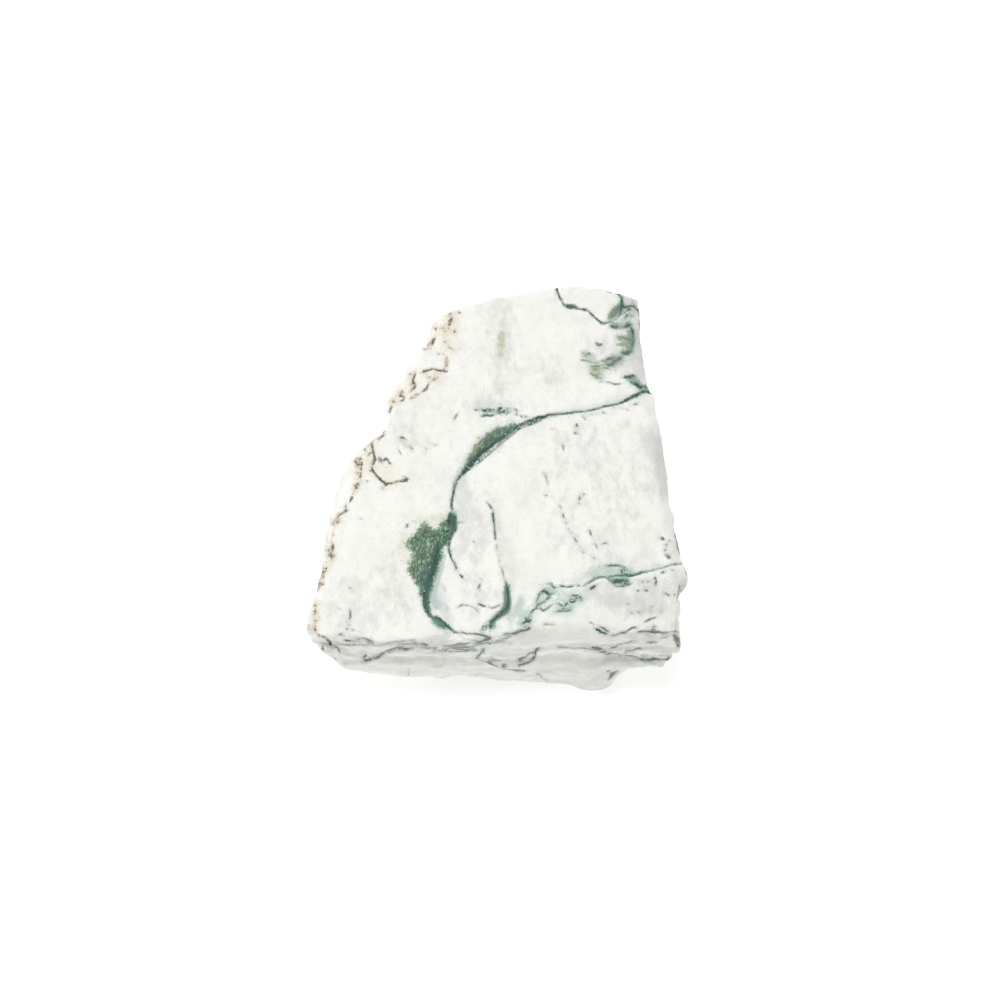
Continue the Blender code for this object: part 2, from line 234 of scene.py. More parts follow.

# Thin dark lines and cracks: the threads of the top face and the beds of the front. Some of them
# are painted shadow: the line under the rim at the front's right, its right corner, a recess at
# its foot and the shadowed facets of the right edge.
DARK_SEAMS_AND_SHADOW_LINES = (
    ((457, 521.9, 0.7), (460, 521.6, 0.6), (463.6, 521.9, 0.4)),
    (
        (457.8, 607.2, 0.6), (460.7, 605.4, 0.7), (465.9, 604.8, 0.7), (471, 605.9, 0.6),
        (475.4, 608.7, 0.7), (478.3, 611.1, 0.5),
    ),
    ((478.5, 603.9, 0.9), (481.8, 605, 1.4), (484.8, 606, 0.9)),
    ((487.4, 606, 0.6), (491.5, 607.4, 0.9), (495.9, 606.7, 0.9), (500.3, 604.5, 0.9)),
    ((481.3, 579.2, 1.1),),
    ((480.6, 584.4, 1.2), (478, 587.6, 1.2)),
    ((480, 590, 0.8),),
    # The front's rim and the beds under it.
    (
        (453, 631.7, 0.9), (462, 633, 0.9), (470.9, 633.5, 0.9), (478, 634.4, 1.1),
        (482.5, 634.8, 1.0), (487, 636.6, 1.2), (491.4, 637.9, 0.8),
    ),
    (
        (530.7, 627.7, 0.9), (525.4, 630.6, 1.2), (519, 631.4, 1.3), (515.5, 633.5, 1.6),
        (510.2, 633.9, 1.1), (503.9, 633.7, 0.8),
    ),
    ((511.5, 636.6, 0.61), (504.8, 638.8, 0.68), (500.4, 640.6, 0.61), (496, 640.4, 0.41)),
    ((490.5, 639, 0.68), (485.2, 640.6, 0.88), (480, 642.4, 0.82), (475, 641.8, 0.61)),
    (
        (503, 643.3, 0.41), (498.6, 642.7, 0.54), (491.4, 643, 0.61), (486, 644, 0.54),
        (479.9, 645.4, 0.61), (473, 645.6, 0.48),
    ),
    (
        (451.3, 646.4, 0.48), (455.7, 645.5, 0.75), (460.2, 645.1, 0.82), (466.4, 644.2, 0.75),
        (471.8, 642.4, 0.54),
    ),
    (
        (444.1, 646.9, 0.61), (448.6, 647.2, 0.61), (453.9, 648.7, 0.68), (459.3, 649.2, 0.75),
        (464.8, 648.2, 0.68), (471, 648.6, 0.68), (476, 648, 0.61),
    ),
    ((420, 643.3, 0.54), (424.5, 644.2, 0.75), (428, 645.4, 0.61)),
    (
        (432.5, 649.1, 0.61), (437.9, 650.9, 0.61), (446.8, 651.8, 0.61), (453, 652.4, 0.61),
        (460, 652.2, 0.54), (466.4, 651.5, 0.61), (471.8, 652.4, 0.75), (477, 651, 0.48),
    ),
    ((483.8, 650.2, 1.4), (482, 652.4, 1.2), (479.6, 655.6, 1.0), (475.6, 658.3, 0.8)),
    (
        (475.4, 658.7, 0.8), (480.7, 660.7, 0.9), (486.1, 662.1, 0.9), (493.2, 664.7, 1.3),
        (498.6, 667.4, 0.9), (503, 668.8, 0.8), (509.3, 670.1, 0.9), (516.4, 670.7, 1.1),
        (524.5, 671, 1.2),
    ),
    ((488.6, 660.2, 0.4), (495.9, 660.1, 0.6), (501.3, 661.6, 0.4)),
    ((502.5, 665.4, 0.9), (506.6, 665.8, 0.9)),
    (
        (539.6, 648.7, 0.9), (535.6, 651.8, 1.2), (535.4, 656.3, 1.2), (531.6, 660.9, 1.2),
        (526.3, 663.6, 1.1), (519.1, 665.4, 1.4),
    ),
    ((531, 652.8, 0.7), (526.8, 656, 1.1), (523, 658.6, 1.0), (518.6, 659.9, 1.1)),
    ((344.5, 639.6, 0.61), (348.5, 640.5, 0.88), (354.5, 641.7, 0.54), (360, 642.6, 0.34)),
    ((357.3, 639.1, 0.41), (362.6, 638.3, 0.61), (368, 640.2, 0.82), (374.5, 641.6, 0.61)),
    (
        (334.5, 644, 0.61), (341.2, 644.8, 0.61), (350.3, 645.6, 0.48), (364, 646.6, 0.41),
        (376, 645.5, 0.27),
    ),
    (
        (366, 643.4, 0.27), (374.5, 645, 0.41), (386, 643.8, 0.41), (396, 641.7, 0.41),
        (406, 640.5, 0.54), (415, 640, 0.48),
    ),
    ((398, 645.5, 0.34), (408, 644.6, 0.54), (417, 643.8, 0.48)),
    ((423, 647.5, 0.34), (429, 648.3, 0.54), (437, 647.6, 0.41)),
    (
        (362, 658, 0.53), (365, 661, 1.06), (371, 659.5, 0.79), (377, 657.5, 0.73),
        (383, 654, 0.79), (389, 651.5, 0.66), (397, 649.5, 0.79), (407, 649.8, 0.66),
        (414, 648, 0.46),
    ),
    # The beds of the near right block.
    (
        (558, 647.7, 0.8), (563.4, 647.4, 0.9), (568.8, 648.5, 0.8), (574.2, 649.5, 0.9),
        (579.7, 648.7, 1.0), (585.1, 649.1, 0.9), (590.5, 650.2, 0.9), (597, 651.6, 0.9),
        (602.4, 652.8, 1.1), (608, 654, 1.3), (613.3, 654.5, 1.2), (623, 654.9, 0.7),
        (631.7, 656.4, 0.9), (637.1, 658, 1.2), (642, 659.4, 1.8), (649, 660, 1.6),
        (655, 659.6, 1.3), (664.3, 659.7, 0.9), (670, 656.6, 0.8),
    ),
    ((592.7, 647, 0.9), (598.1, 648, 1.0), (602.8, 649.8, 0.9), (606, 651.6, 0.8)),
    (
        (611.1, 648.5, 0.7), (615.4, 648, 0.8), (618.7, 645.4, 0.7), (624.1, 643.9, 0.6),
        (631.7, 641.8, 0.6),
    ),
    ((625.2, 651.6, 0.7), (631.7, 650.6, 0.8), (637.1, 648.7, 1.3), (640.6, 649, 1.4)),
    ((645.7, 644, 0.6), (650, 643.2, 0.8), (656.6, 643, 0.6)),
    ((660, 638.5, 0.5), (668, 637.6, 0.6)),
    ((590, 622.2, 0.8), (593.8, 623.9, 0.6)),
    ((599.7, 626.6, 1.1), (604, 628.4, 1.3), (608.4, 631.5, 1.2)),
    (
        (611.1, 636.1, 0.7), (615.4, 635.9, 0.8), (620.9, 632.9, 1.0), (625.2, 632.6, 0.9),
        (628.5, 630.2, 0.9), (632.4, 627.6, 1.3), (636.8, 627.5, 0.9),
    ),
    # Painted shadow: the dark line under the rim of the front's right.
    (
        (637.8, 631.7, 0.7), (645.7, 631.5, 1.2), (654.6, 631.8, 1.4), (663.5, 632.6, 0.9),
        (670, 632, 0.6), (676.6, 631.6, 0.9),
    ),
    ((652, 626.8, 0.9), (655.6, 626.6, 0.7)),
    ((644.7, 621.8, 1.0), (649.7, 619.3, 1.0), (656.6, 617.3, 0.8)),
    # Painted shade in the front's dark right corner.
    ((674, 636, 1.2), (676.4, 638, 2.4), (677.6, 642.6, 2.2), (678.8, 646.5, 0.9)),
    # Painted shadow in a recess at the foot of the near right block.
    ((617.6, 672.8, 0.4), (613.6, 674.6, 0.9), (610.4, 677.4, 0.7), (608.6, 680.2, 0.3)),
    ((611, 672.6, 0.5), (606.6, 672.8, 0.8)),
    # Painted shade on the shadowed facets of the right edge.
    ((679.8, 585.2, 0.7), (679.7, 592, 0.9), (679.3, 599.5, 0.8)),
    ((685, 569.4, 0.6), (687.4, 576.3, 0.7)),
    ((674.4, 529.3, 0.7), (676.8, 536.7, 1.3), (679, 543.7, 1.8), (680.3, 551.6, 1.4)),
    ((544, 624.3, 0.5), (554.5, 624.5, 0.5)),
    ((408.6, 669, 0.2), (408.4, 673, 0.4), (408.8, 677.6, 0.6)),
    ((535.2, 675, 0.8), (539.6, 674.3, 0.6), (542.3, 678.6, 0.6), (545.9, 680.8, 0.9)),
    ((365.5, 655.8, 1.4),),
    ((334.4, 660, 0.9),),
    # Specks of the top face.
    ((596.2, 343.1, 1.3), (598.9, 344.3, 1.8), (602, 344.8, 0.9)),
    ((606.6, 359, 1.3), (611.2, 358.2, 1.6), (615, 356.9, 1.1)),
    (
        (581.3, 360.2, 0.9), (585.1, 360.2, 0.9), (589, 361.5, 0.7), (593.6, 362.4, 0.6),
        (601.2, 361.5, 0.6), (606, 361, 0.7),
    ),
    ((589.3, 354.6, 1.0),),
    ((605.8, 382.3, 0.5), (610, 382.8, 0.7), (615, 383.9, 1.0), (621.1, 383.3, 0.6)),
    ((600.2, 381.9, 0.9), (603, 381.4, 0.7)),
    ((638.6, 313, 0.5), (640.1, 319, 0.7), (640, 327.4, 0.6)),
    ((608.7, 292, 0.8), (613, 292.1, 0.6)),
    ((576.4, 424.6, 1.4), (577.4, 426.4, 1.2)),
    ((575.4, 433.5, 1.4),),
    ((585, 419.2, 1.0),),
    ((583, 416.4, 0.9),),
    ((562.4, 444.4, 0.7), (563.1, 447.2, 1.1), (563.6, 449.6, 0.7)),
    ((592, 414.6, 0.8),),
    ((597, 413.9, 0.7),),
    ((602.5, 412.6, 0.8), (605, 413.4, 0.7)),
    ((621.6, 408.2, 0.9),),
    ((627, 409.6, 0.8),),
    ((634, 404.6, 0.9), (637.4, 403.8, 0.8)),
    ((457.8, 413.6, 0.8), (455.6, 416.9, 0.9), (454, 419.6, 0.6)),
    ((546, 495.5, 1.2),),
    ((579.8, 496.6, 1.1), (579.3, 499.6, 1.1)),
    ((579, 503.6, 1.1),),
    ((584.3, 493.6, 1.1),),
    ((560, 506, 0.8), (561.2, 508.6, 0.9)),
    ((563.2, 514, 0.9), (563.8, 517.6, 1.0)),
    ((565.6, 522.4, 1.0),),
    ((568.4, 528.6, 0.8),),
    ((571.4, 533, 0.9),),
    ((574.6, 538.4, 0.9), (577, 542.4, 1.0)),
    ((580, 547, 0.8),),
    ((583.4, 552.2, 0.9),),
    ((589, 529.5, 0.7), (590.6, 533.4, 0.8), (592.2, 537.6, 0.7)),
    ((594.4, 543, 0.8), (596.7, 547.7, 0.9)),
    ((602, 544.3, 0.6), (605, 542.8, 0.8), (608, 544, 0.6)),
    ((594, 558, 1.0),),
    ((663.6, 538.8, 1.7), (661, 538, 0.9)),
    ((669.4, 541.2, 1.0),),
    ((666.5, 545, 1.0),),
    ((665, 550.6, 1.1),),
    ((665.6, 554.8, 1.5), (669.2, 557.3, 2.2)),
    ((658.6, 564.9, 0.8),),
    ((661.5, 573.3, 1.0), (665, 571.8, 0.9)),
    ((672.4, 569.9, 0.9),),
    ((654.6, 577.3, 1.0), (656.2, 581.2, 1.0), (655.4, 585.4, 1.1)),
    ((652.9, 580.4, 0.7),),
    ((642.8, 581.6, 1.1),),
    ((648.1, 581.6, 1.2),),
    ((638.3, 590.9, 1.6),),
    ((646.3, 590.7, 1.7),),
    ((664.5, 593.1, 0.8), (668.9, 595.6, 1.0)),
    ((675.4, 594.8, 1.1),),
    ((651.7, 606.7, 1.1),),
    ((627.9, 604, 0.8),),
    ((631.9, 613, 1.1),),
    ((638.4, 611.9, 1.1),),
    ((360.8, 518.2, 1.0),),
    ((474, 542, 1.0),),
    ((399.8, 437.3, 1.3), (403.3, 437.9, 1.0), (406.8, 440.3, 0.6)),
    ((411.6, 448.3, 1.3),),
    ((398.2, 449, 0.6), (401, 453.7, 0.7)),
    ((426, 448.6, 0.9),),
    ((435, 444.6, 0.7),),
    ((406.2, 526.8, 1.2), (408.5, 524.6, 0.8)),
    ((414.2, 522, 0.6),),
    ((349.7, 610, 0.9), (350.4, 614.8, 0.9), (349.1, 619.1, 1.2)),
    ((348.2, 624.5, 1.0),),
    ((346.6, 629.1, 1.2),),
    ((353.3, 630, 1.1),),
    ((339.7, 608.8, 0.9),),
    ((350.3, 588.2, 1.1),),
    ((339.4, 634.8, 1.1), (342.6, 634, 0.8)),
)

# Thin olive strokes at the far right corner and in the teardrop.
OLIVE_SEAMS = (
    ((616.5, 336, 0.53), (622.6, 337, 0.63), (627, 337.8, 0.42)),
    ((617.6, 339.4, 0.42), (622, 340.6, 0.53), (626.5, 341.6, 0.42)),
    ((616.8, 343.6, 0.37), (621.1, 345.2, 0.42), (627, 345.4, 0.37)),
    ((622, 349, 0.32), (627, 349.6, 0.37)),
    ((582, 352.6, 0.7), (587, 353.4, 0.9), (591, 353, 0.8)),
    ((581.5, 356.4, 0.6), (586, 357.2, 0.8)),
    (
        (589, 365.7, 0.65), (593.6, 366.5, 0.79), (598.9, 366.5, 0.72), (604.3, 367.8, 0.79),
        (608.9, 368.6, 0.79),
    ),
    ((596, 364, 0.5), (602, 364.6, 0.58), (608, 364, 0.5)),
    ((591, 370, 0.58), (596, 370.6, 0.72), (600, 369.8, 0.5)),
    ((589.7, 373.2, 0.72), (593.6, 374.9, 0.94), (597.4, 374.7, 0.86), (600.8, 372.4, 0.65)),
    ((594.4, 378, 0.5), (598.9, 378.6, 0.65), (602.7, 378.2, 0.58)),
    ((566, 304.4, 0.6), (571, 305, 0.9), (576, 306, 0.7)),
    ((609.4, 316.6, 0.8), (611.4, 312.6, 0.9), (614, 308.6, 0.9)),
    ((544, 473, 0.6), (546.4, 478.6, 0.7), (547.8, 483, 0.7)),
    ((482.8, 439.5, 0.9), (478.2, 444.6, 1.0), (475.6, 449, 0.9), (472.2, 454.4, 0.8)),
    ((410.4, 537.4, 0.9), (407.8, 541.4, 0.9), (407.2, 546, 0.8)),
    ((486, 502, 0.6), (489.6, 505.4, 0.8), (492, 508.6, 0.9)),
    ((496.4, 544, 0.5), (497, 549, 0.5)),
    ((498, 556, 0.4), (499.4, 562, 0.5)),
    ((500.8, 567, 0.5), (502.4, 572, 0.7), (504, 577, 0.7)),
)

# Brown-black dendrites of the weathered left edge.
BROWN_SEAMS = (
    ((459.4, 312.2, 1.3),),
    ((450.2, 313.9, 1.2),),
    ((451.8, 318.7, 1.3), (450.2, 321.5, 1.5), (449.1, 325.2, 1.1)),
    ((443.2, 328.2, 0.9),),
    ((435.6, 328.4, 1.2),),
    ((454.6, 331.2, 1.3),),
    ((434.6, 338.3, 1.1), (433, 341.4, 1.3), (431.8, 345, 1.3)),
    ((428.6, 345.6, 0.9),),
    ((428.6, 349.2, 1.0),),
    ((425.3, 349.9, 1.1),),
    ((444.8, 342.1, 0.9),),
    ((449, 347.6, 0.5), (453, 349.4, 0.6)),
    ((438.9, 353.8, 1.1),),
    ((443.7, 353.8, 0.9),),
    ((413.9, 357, 0.7),),
    ((446.6, 361.8, 0.9), (446.5, 365.8, 0.8)),
    (
        (422.6, 371.9, 0.9), (426.9, 370, 1.2), (433.4, 368.5, 1.0), (439.9, 370, 1.2),
        (446.9, 370.5, 1.5),
    ),
    ((410, 374.4, 0.9),),
    ((415, 373, 1.1), (413.5, 377.9, 1.1), (413.3, 382.8, 1.2), (415.5, 383.6, 0.9)),
    ((411.8, 385.1, 0.9),),
    ((415.4, 386.4, 0.9), (413.3, 388.9, 1.1), (410.5, 391.2, 1.1)),
    ((428.5, 383.8, 0.8), (426.4, 388.2, 1.2), (422, 391.8, 1.0)),
    ((437.2, 376.9, 0.9),),
    ((434.8, 378.8, 1.0), (432.7, 380.4, 0.9)),
    ((429.2, 376.8, 0.8),),
    ((401.4, 391.6, 1.2),),
    ((398.7, 395.2, 0.9), (403, 396.3, 1.0), (404.1, 398.5, 1.0), (401.6, 400.7, 1.1)),
    ((393.2, 401.2, 1.4),),
    ((391.6, 406, 0.7), (390.6, 409.3, 0.9), (389.9, 412.8, 0.8)),
    ((380, 432, 1.1), (384, 431.6, 1.2)),
    ((383.6, 435.1, 1.4), (381, 436, 1.2), (378.6, 439, 1.1)),
    ((376.8, 435, 0.5), (371.8, 440.3, 0.6)),
    (
        (370.8, 441.5, 0.7), (371.6, 445, 1.2), (373.2, 450.5, 0.9), (374.2, 454.5, 1.3),
        (374.9, 458.4, 1.5), (373.9, 462.4, 1.2), (372, 465.4, 0.9),
    ),
    ((365.8, 445.4, 0.8),),
    ((365, 449.9, 1.1),),
    ((368.3, 454.2, 1.2), (369.6, 452.6, 0.8), (372, 452.6, 0.7)),
    ((360.6, 458.9, 1.4),),
    ((355.9, 460.6, 1.0), (356.4, 463.4, 1.1), (358.9, 465.6, 1.0)),
    ((361.3, 463, 1.5), (361, 466.6, 1.1)),
    ((360.9, 469.2, 1.3),),
    ((356.9, 472.8, 1.1),),
    ((360.3, 472.8, 0.9), (360.3, 477.2, 0.9)),
    ((367.6, 481.4, 1.0),),
    ((358.7, 483.5, 0.9), (355.7, 484.3, 0.9), (354.7, 486.3, 0.8)),
    ((357.3, 487.2, 0.9), (355, 488.8, 1.2)),
    ((352.3, 496.6, 1.2), (349.6, 501.4, 1.3)),
    (
        (372, 468.4, 1.2), (374, 471.6, 1.2), (376.9, 475.7, 1.3), (380.4, 479.5, 1.6),
        (384, 482, 1.1), (388.5, 482.8, 0.9), (392.5, 482.9, 1.0), (397.6, 481.6, 0.8),
        (403.3, 481.2, 0.8), (407.4, 480.2, 1.1),
    ),
    ((407.2, 478.6, 1.8),),
    ((404, 476.8, 0.9),),
    ((386.2, 484, 1.0), (384.4, 485.4, 1.1)),
    ((382.3, 488.8, 1.1),),
    ((370.5, 470.9, 0.8),),
    ((378.8, 457.8, 0.8), (381.3, 458.8, 1.0), (380.4, 462, 1.0)),
    ((384.2, 460.1, 0.8), (386.1, 458.5, 1.0), (388.6, 461.2, 1.0), (390.9, 463.8, 0.8)),
    ((345.8, 504.8, 0.9), (344.9, 507.6, 0.8)),
    (
        (347.3, 509.8, 1.1), (343.4, 512.1, 1.0), (338.4, 514.7, 1.4), (336, 517.6, 1.1),
        (333.2, 521, 0.8),
    ),
    ((337.2, 522.6, 1.1),),
    ((331.9, 524.3, 0.9),),
    ((333.4, 535, 0.9),),
    ((332.1, 543, 1.0), (332.8, 546.8, 1.2), (332, 551, 1.2)),
    ((328.2, 550.3, 1.2),),
    ((329.4, 554.6, 2.0), (331.2, 557.7, 1.2)),
    ((333.9, 555.6, 1.0),),
    ((322.7, 567, 1.1),),
    ((325.6, 568.2, 1.2),),
    (
        (326, 570.4, 0.7), (321.4, 573, 0.9), (318.8, 577, 0.8), (317, 581.7, 0.8),
        (315.9, 586.4, 0.7),
    ),
    ((322.6, 574.6, 0.6), (323.4, 578.4, 0.7)),
    ((319.7, 581.7, 0.9), (318.6, 587.4, 0.8)),
    ((322.4, 583.8, 1.1),),
    ((316.2, 589.8, 1.1),),
    ((314.5, 605.3, 1.2),),
    ((315.2, 610.7, 1.5), (315.3, 614, 0.8)),
    ((315.8, 620.4, 1.0),),
    ((314.6, 628.2, 1.0), (315.2, 631.4, 0.8)),
    ((309.3, 625.9, 0.9),),
    ((308.2, 629.8, 1.1),),
    ((315.8, 633.7, 0.6), (320, 635.8, 0.7), (325.3, 637.5, 0.8)),
    ((326.1, 638.4, 1.3), (327.9, 641, 1.9), (330.4, 644.4, 1.9)),
    ((335.2, 647.3, 0.7), (337.9, 649, 1.0), (339.3, 653.9, 1.1)),
    ((322.1, 646.4, 1.1), (322.7, 650, 1.1)),
)

# Patches of moss: how much each one hides and how far it fades to olive at its upper left,
# from 0 to 1, and its outline in pixels.
MOSS_PATCHES = (
    # The wide green wedge of the long arc.
    (0.97, 1.0, (
        (521, 423), (517, 423), (510.4, 424), (503, 425.6), (496.4, 427.8), (492, 430.4),
        (487, 433.4), (482, 437.2), (477.2, 442.2), (474.6, 447), (471.8, 452),
        (468.4, 457.6), (465, 464), (461.4, 470.6), (464, 474), (467.4, 471), (471.1, 467),
        (475.3, 462.2), (478.9, 457.3), (483.8, 452.5), (489.2, 448.3), (494.1, 444),
        (498.9, 441), (503.8, 437.4), (508.6, 433.4), (515.3, 429.3), (520.5, 425.8),
    )),
    # The large patch left of the teardrop.
    (1.0, 1.0, (
        (455.6, 515), (453.4, 510.4), (450.6, 511), (447.4, 516.4), (442.8, 522), (440.6, 521.2),
        (437.6, 524.4), (438.9, 528), (435.8, 528.6), (431.5, 528.1),
        (428.8, 526.5), (427.7, 521.9), (425.4, 520.6), (422.6, 522), (421.2, 526.4), (418.4, 530),
        (417, 529), (414.6, 533), (412.2, 534.4), (409.8, 537.8), (407.4, 541.3),
        (406.9, 545.9), (409.8, 550), (411, 554.1), (411.5, 559.2), (410.3, 564.3), (405.9, 568.9),
        (407.6, 571.6), (411, 577.6), (415.6, 581.4), (418.6, 587), (420.6, 594), (421.8, 602),
        (423, 608), (427, 613), (431, 611.4), (430, 606), (430, 600), (430.6, 594.9),
        (431, 590.5), (432.6, 584.7), (435.2, 578.6), (437.6, 571.6), (439, 566), (441, 560.2),
        (441.6, 554.1), (442.4, 549), (445.6, 545.4), (450, 541), (453.4, 535.6), (456.2, 529.6),
        (457, 521.4),
    )),
    # Over and beside the far right corner.
    (0.80, 0.35, (
        (607.3, 319), (609.6, 312.9), (612.7, 309.1), (616.5, 305.2), (619.6, 301.4), (620.7, 297),
        (623, 296.8), (623.4, 302.2), (623, 308.3), (620.3, 312.1), (616.5, 316), (611.9, 320),
    )),
    (0.62, 0.4, (
        (626.5, 330), (631, 328), (635, 332), (636, 339), (634.4, 346), (634, 352), (629, 356.4),
        (621, 355), (620, 351.6), (626.6, 350), (626, 346.5), (617, 345.6), (616.4, 343.6),
        (625.4, 341.4), (617.6, 339.4), (617.4, 335.6), (626.4, 335.4),
    )),
    (0.50, 0.6, (
        (610, 323), (617, 322), (624, 324), (629, 321), (633, 325), (631.6, 329.6), (624, 328.6),
        (616, 329), (611, 327),
    )),
    (0.42, 1.0, (
        (599, 362.6), (606, 358), (613, 355), (622, 354), (625, 359), (621, 364.4), (615, 367.6),
        (607, 369.8), (600, 368.6), (607, 365),
    )),
    (0.20, 1.0, (
        (584, 352), (592, 355), (598, 362), (606, 366), (604, 372), (603, 379), (596, 379.6),
        (589, 374), (590, 366), (583, 358),
    )),
    # The wide lower right of the teardrop.
    (0.85, 0.5, (
        (504.7, 583.9), (509.9, 585.4), (510.6, 592), (511.3, 599.3), (511.3, 606.7),
        (509.1, 612.5), (504, 616.2), (499.6, 619.9), (495.2, 622.8), (494.5, 628.7), (489.3, 628),
        (488.6, 622.1), (490.8, 618.4), (495.2, 614), (500.3, 609.6), (503.3, 603), (503.3, 592),
    )),
)

# Patches of clearer, bluer moss, in the same way.
TEAL_PATCHES = (
    # At the right edge, above the end of the long arc.
    (0.62, 0.3, (
        (624, 376), (633.3, 375), (638.7, 378.5), (641.8, 382.2), (643, 385.2), (648.6, 385.2),
        (652, 389.4), (645.6, 389.8), (638.7, 390), (635.6, 386.6), (630, 382.4),
    )),
    # Under the seam of the near right block, above it and round the strokes of its left end.
    (0.50, 0.4, (
        (606.8, 577.4), (615, 576.6), (622, 577.2), (625.7, 578.6), (631.2, 583.5), (627, 585.6),
        (620, 586.2), (614.4, 584.6), (610, 581.4),
    )),
    (0.16, 1.0, (
        (590, 574), (600, 566), (608, 563.4), (620, 563.4), (630, 568), (634, 572), (622, 574),
        (606, 575.4), (597, 577),
    )),
    (0.26, 1.0, (
        (538.6, 594), (542, 589), (548, 586.6), (556, 589), (554, 596), (548.6, 600.4), (542, 603),
        (536, 608), (532.6, 606),
    )),
    (0.20, 1.0, (
        (555, 601), (564, 597), (570, 593.6), (578, 593), (584.6, 597), (582, 603), (575, 606.6),
        (573, 612.6), (562, 614.6), (553, 613.4), (555.6, 607),
    )),
    (0.26, 1.0, (
        (518, 616), (525.4, 610.6), (531.6, 613.6), (533.6, 621), (529.6, 628), (521.6, 628.6),
        (517.4, 621.6),
    )),
    # The lens at the end of the large patch's tail, and the strip above it.
    (0.92, 0.3, (
        (429.6, 615.4), (433, 616.5), (438, 617.7), (443.9, 622.1), (449, 626.5), (453, 630.4),
        (449, 629.4), (443.1, 630), (437.3, 627.8), (432.1, 623.2),
    )),
    # The clear edge between the large patch and the ice.
    (0.60, 0.0, (
        (443.4, 549), (442.6, 556), (440.6, 563), (439, 570), (436.6, 577), (434, 585),
        (432.4, 592), (430.6, 590), (432, 582), (435, 575), (437.6, 567), (440.6, 559),
        (441.6, 550),
    )),
)

# Hazes and sprinkles: paths of (across, down, reach) in pixels, with how dense they are, from
# 0 to 1.
MOSS_FLECKS = (
    (0.62, ((484, 410.6, 3.5), (497, 410.8, 4), (505, 411.4, 3.5))),
    (0.55, ((482, 414.5, 2.6), (492, 414.5, 2.6))),
    (0.40, ((478, 406, 5), (498, 406, 6), (514, 412, 6))),
    (0.30, ((508, 418.5, 4), (524, 418, 4), (540, 417.5, 4))),
    (0.42, (
        (545, 418, 2.4), (564, 415, 2.4), (592, 411.4, 2.4), (617, 405, 2.6), (640, 395.6, 3),
    )),
    (0.34, ((640, 574, 2.4), (657, 570.4, 2.4), (680, 565, 2.4))),
    (0.45, ((458, 520.5, 4), (462, 521.5, 3))),
    (0.40, ((455, 498, 4), (457, 508, 4.5), (460, 517, 5))),
    (0.30, ((453, 548, 4), (457, 560, 4))),
    (0.52, ((612, 324, 4), (626, 322, 6), (632, 328, 5))),
    (0.42, ((628, 306, 5), (634, 308, 5), (630, 316, 6))),
    (0.55, ((622, 299, 3), (621, 307, 4), (614, 314, 4))),
    (0.52, ((632, 336, 5), (631, 345, 5), (626, 353, 5))),
    (0.40, ((628, 362, 5), (634, 344, 4))),
    (0.42, ((596, 571, 7), (612, 570, 6), (626, 571, 5))),
    (0.40, ((583, 580, 7), (600, 572, 8), (640, 571, 5), (660, 566, 4))),
    (0.60, ((544, 589, 5), (549, 594, 5))),
    (0.58, ((563, 604, 4), (572, 601, 4))),
    (0.55, ((578, 596, 4), (581, 600, 3))),
    (0.55, ((541, 605, 4), (548, 608, 4))),
    (0.58, ((617, 571, 3), (626, 572, 3))),
    (0.60, ((614, 580, 3.4), (621, 581, 4), (628, 580.5, 3))),
    (0.46, ((544, 592, 8), (560, 598, 9), (576, 598, 8))),
    (0.44, ((538, 603, 6), (530, 613, 7), (522, 623, 6))),
    (0.34, ((560, 608, 7), (572, 606, 7))),
    (0.35, ((595, 560, 6), (592, 570, 7), (584, 580, 6))),
    (0.28, ((638, 583, 8), (652, 583, 8))),
    (0.55, ((598, 629.5, 4.5), (606, 632.5, 4))),
    (0.50, ((484, 627, 5), (481, 630, 4))),
    (0.50, ((492, 626, 4), (498, 628, 4))),
    (0.42, ((478, 643, 6), (490, 640, 6))),
    (0.45, ((642, 658.5, 4), (654, 660, 4))),
    (0.45, ((522, 658, 5), (532, 653, 4))),
    (0.35, ((362, 640, 5), (372, 641, 4))),
    (0.30, ((350, 612, 5), (348, 628, 6))),
    (0.35, ((638, 648, 4), (622, 650, 4))),
    (0.30, ((560, 648, 4), (600, 651, 5), (630, 655, 4))),
)

# Where the moss is deepest.
DEEP_FLECKS = (
    (1.0, ((437.4, 551, 2.8), (436, 560, 4), (433, 569, 4), (430, 579, 3.4), (426.6, 592, 2.6))),
    (0.45, ((424, 575, 6), (427, 585, 4), (425, 600, 3))),
    (0.4, ((454, 516, 1.6), (454.4, 527, 1.8), (450.6, 536, 1.6))),
    (0.5, ((470, 461, 2.6), (480, 449, 4), (492, 439, 4.4), (504, 431.6, 4), (514, 427, 2.4))),
    (0.9, ((466, 468, 1.6), (474, 460, 2), (485, 450, 2.2), (498, 440.4, 2), (512, 431, 1.6))),
    (1.0, (
        (508.6, 594, 2), (508.6, 604, 2.6), (504, 612, 2.4), (497, 618.4, 1.8), (491.6, 624, 1.6),
    )),
    (0.7, ((428, 612.6, 1.6), (436, 619, 1.8), (446, 627, 1.6))),
)
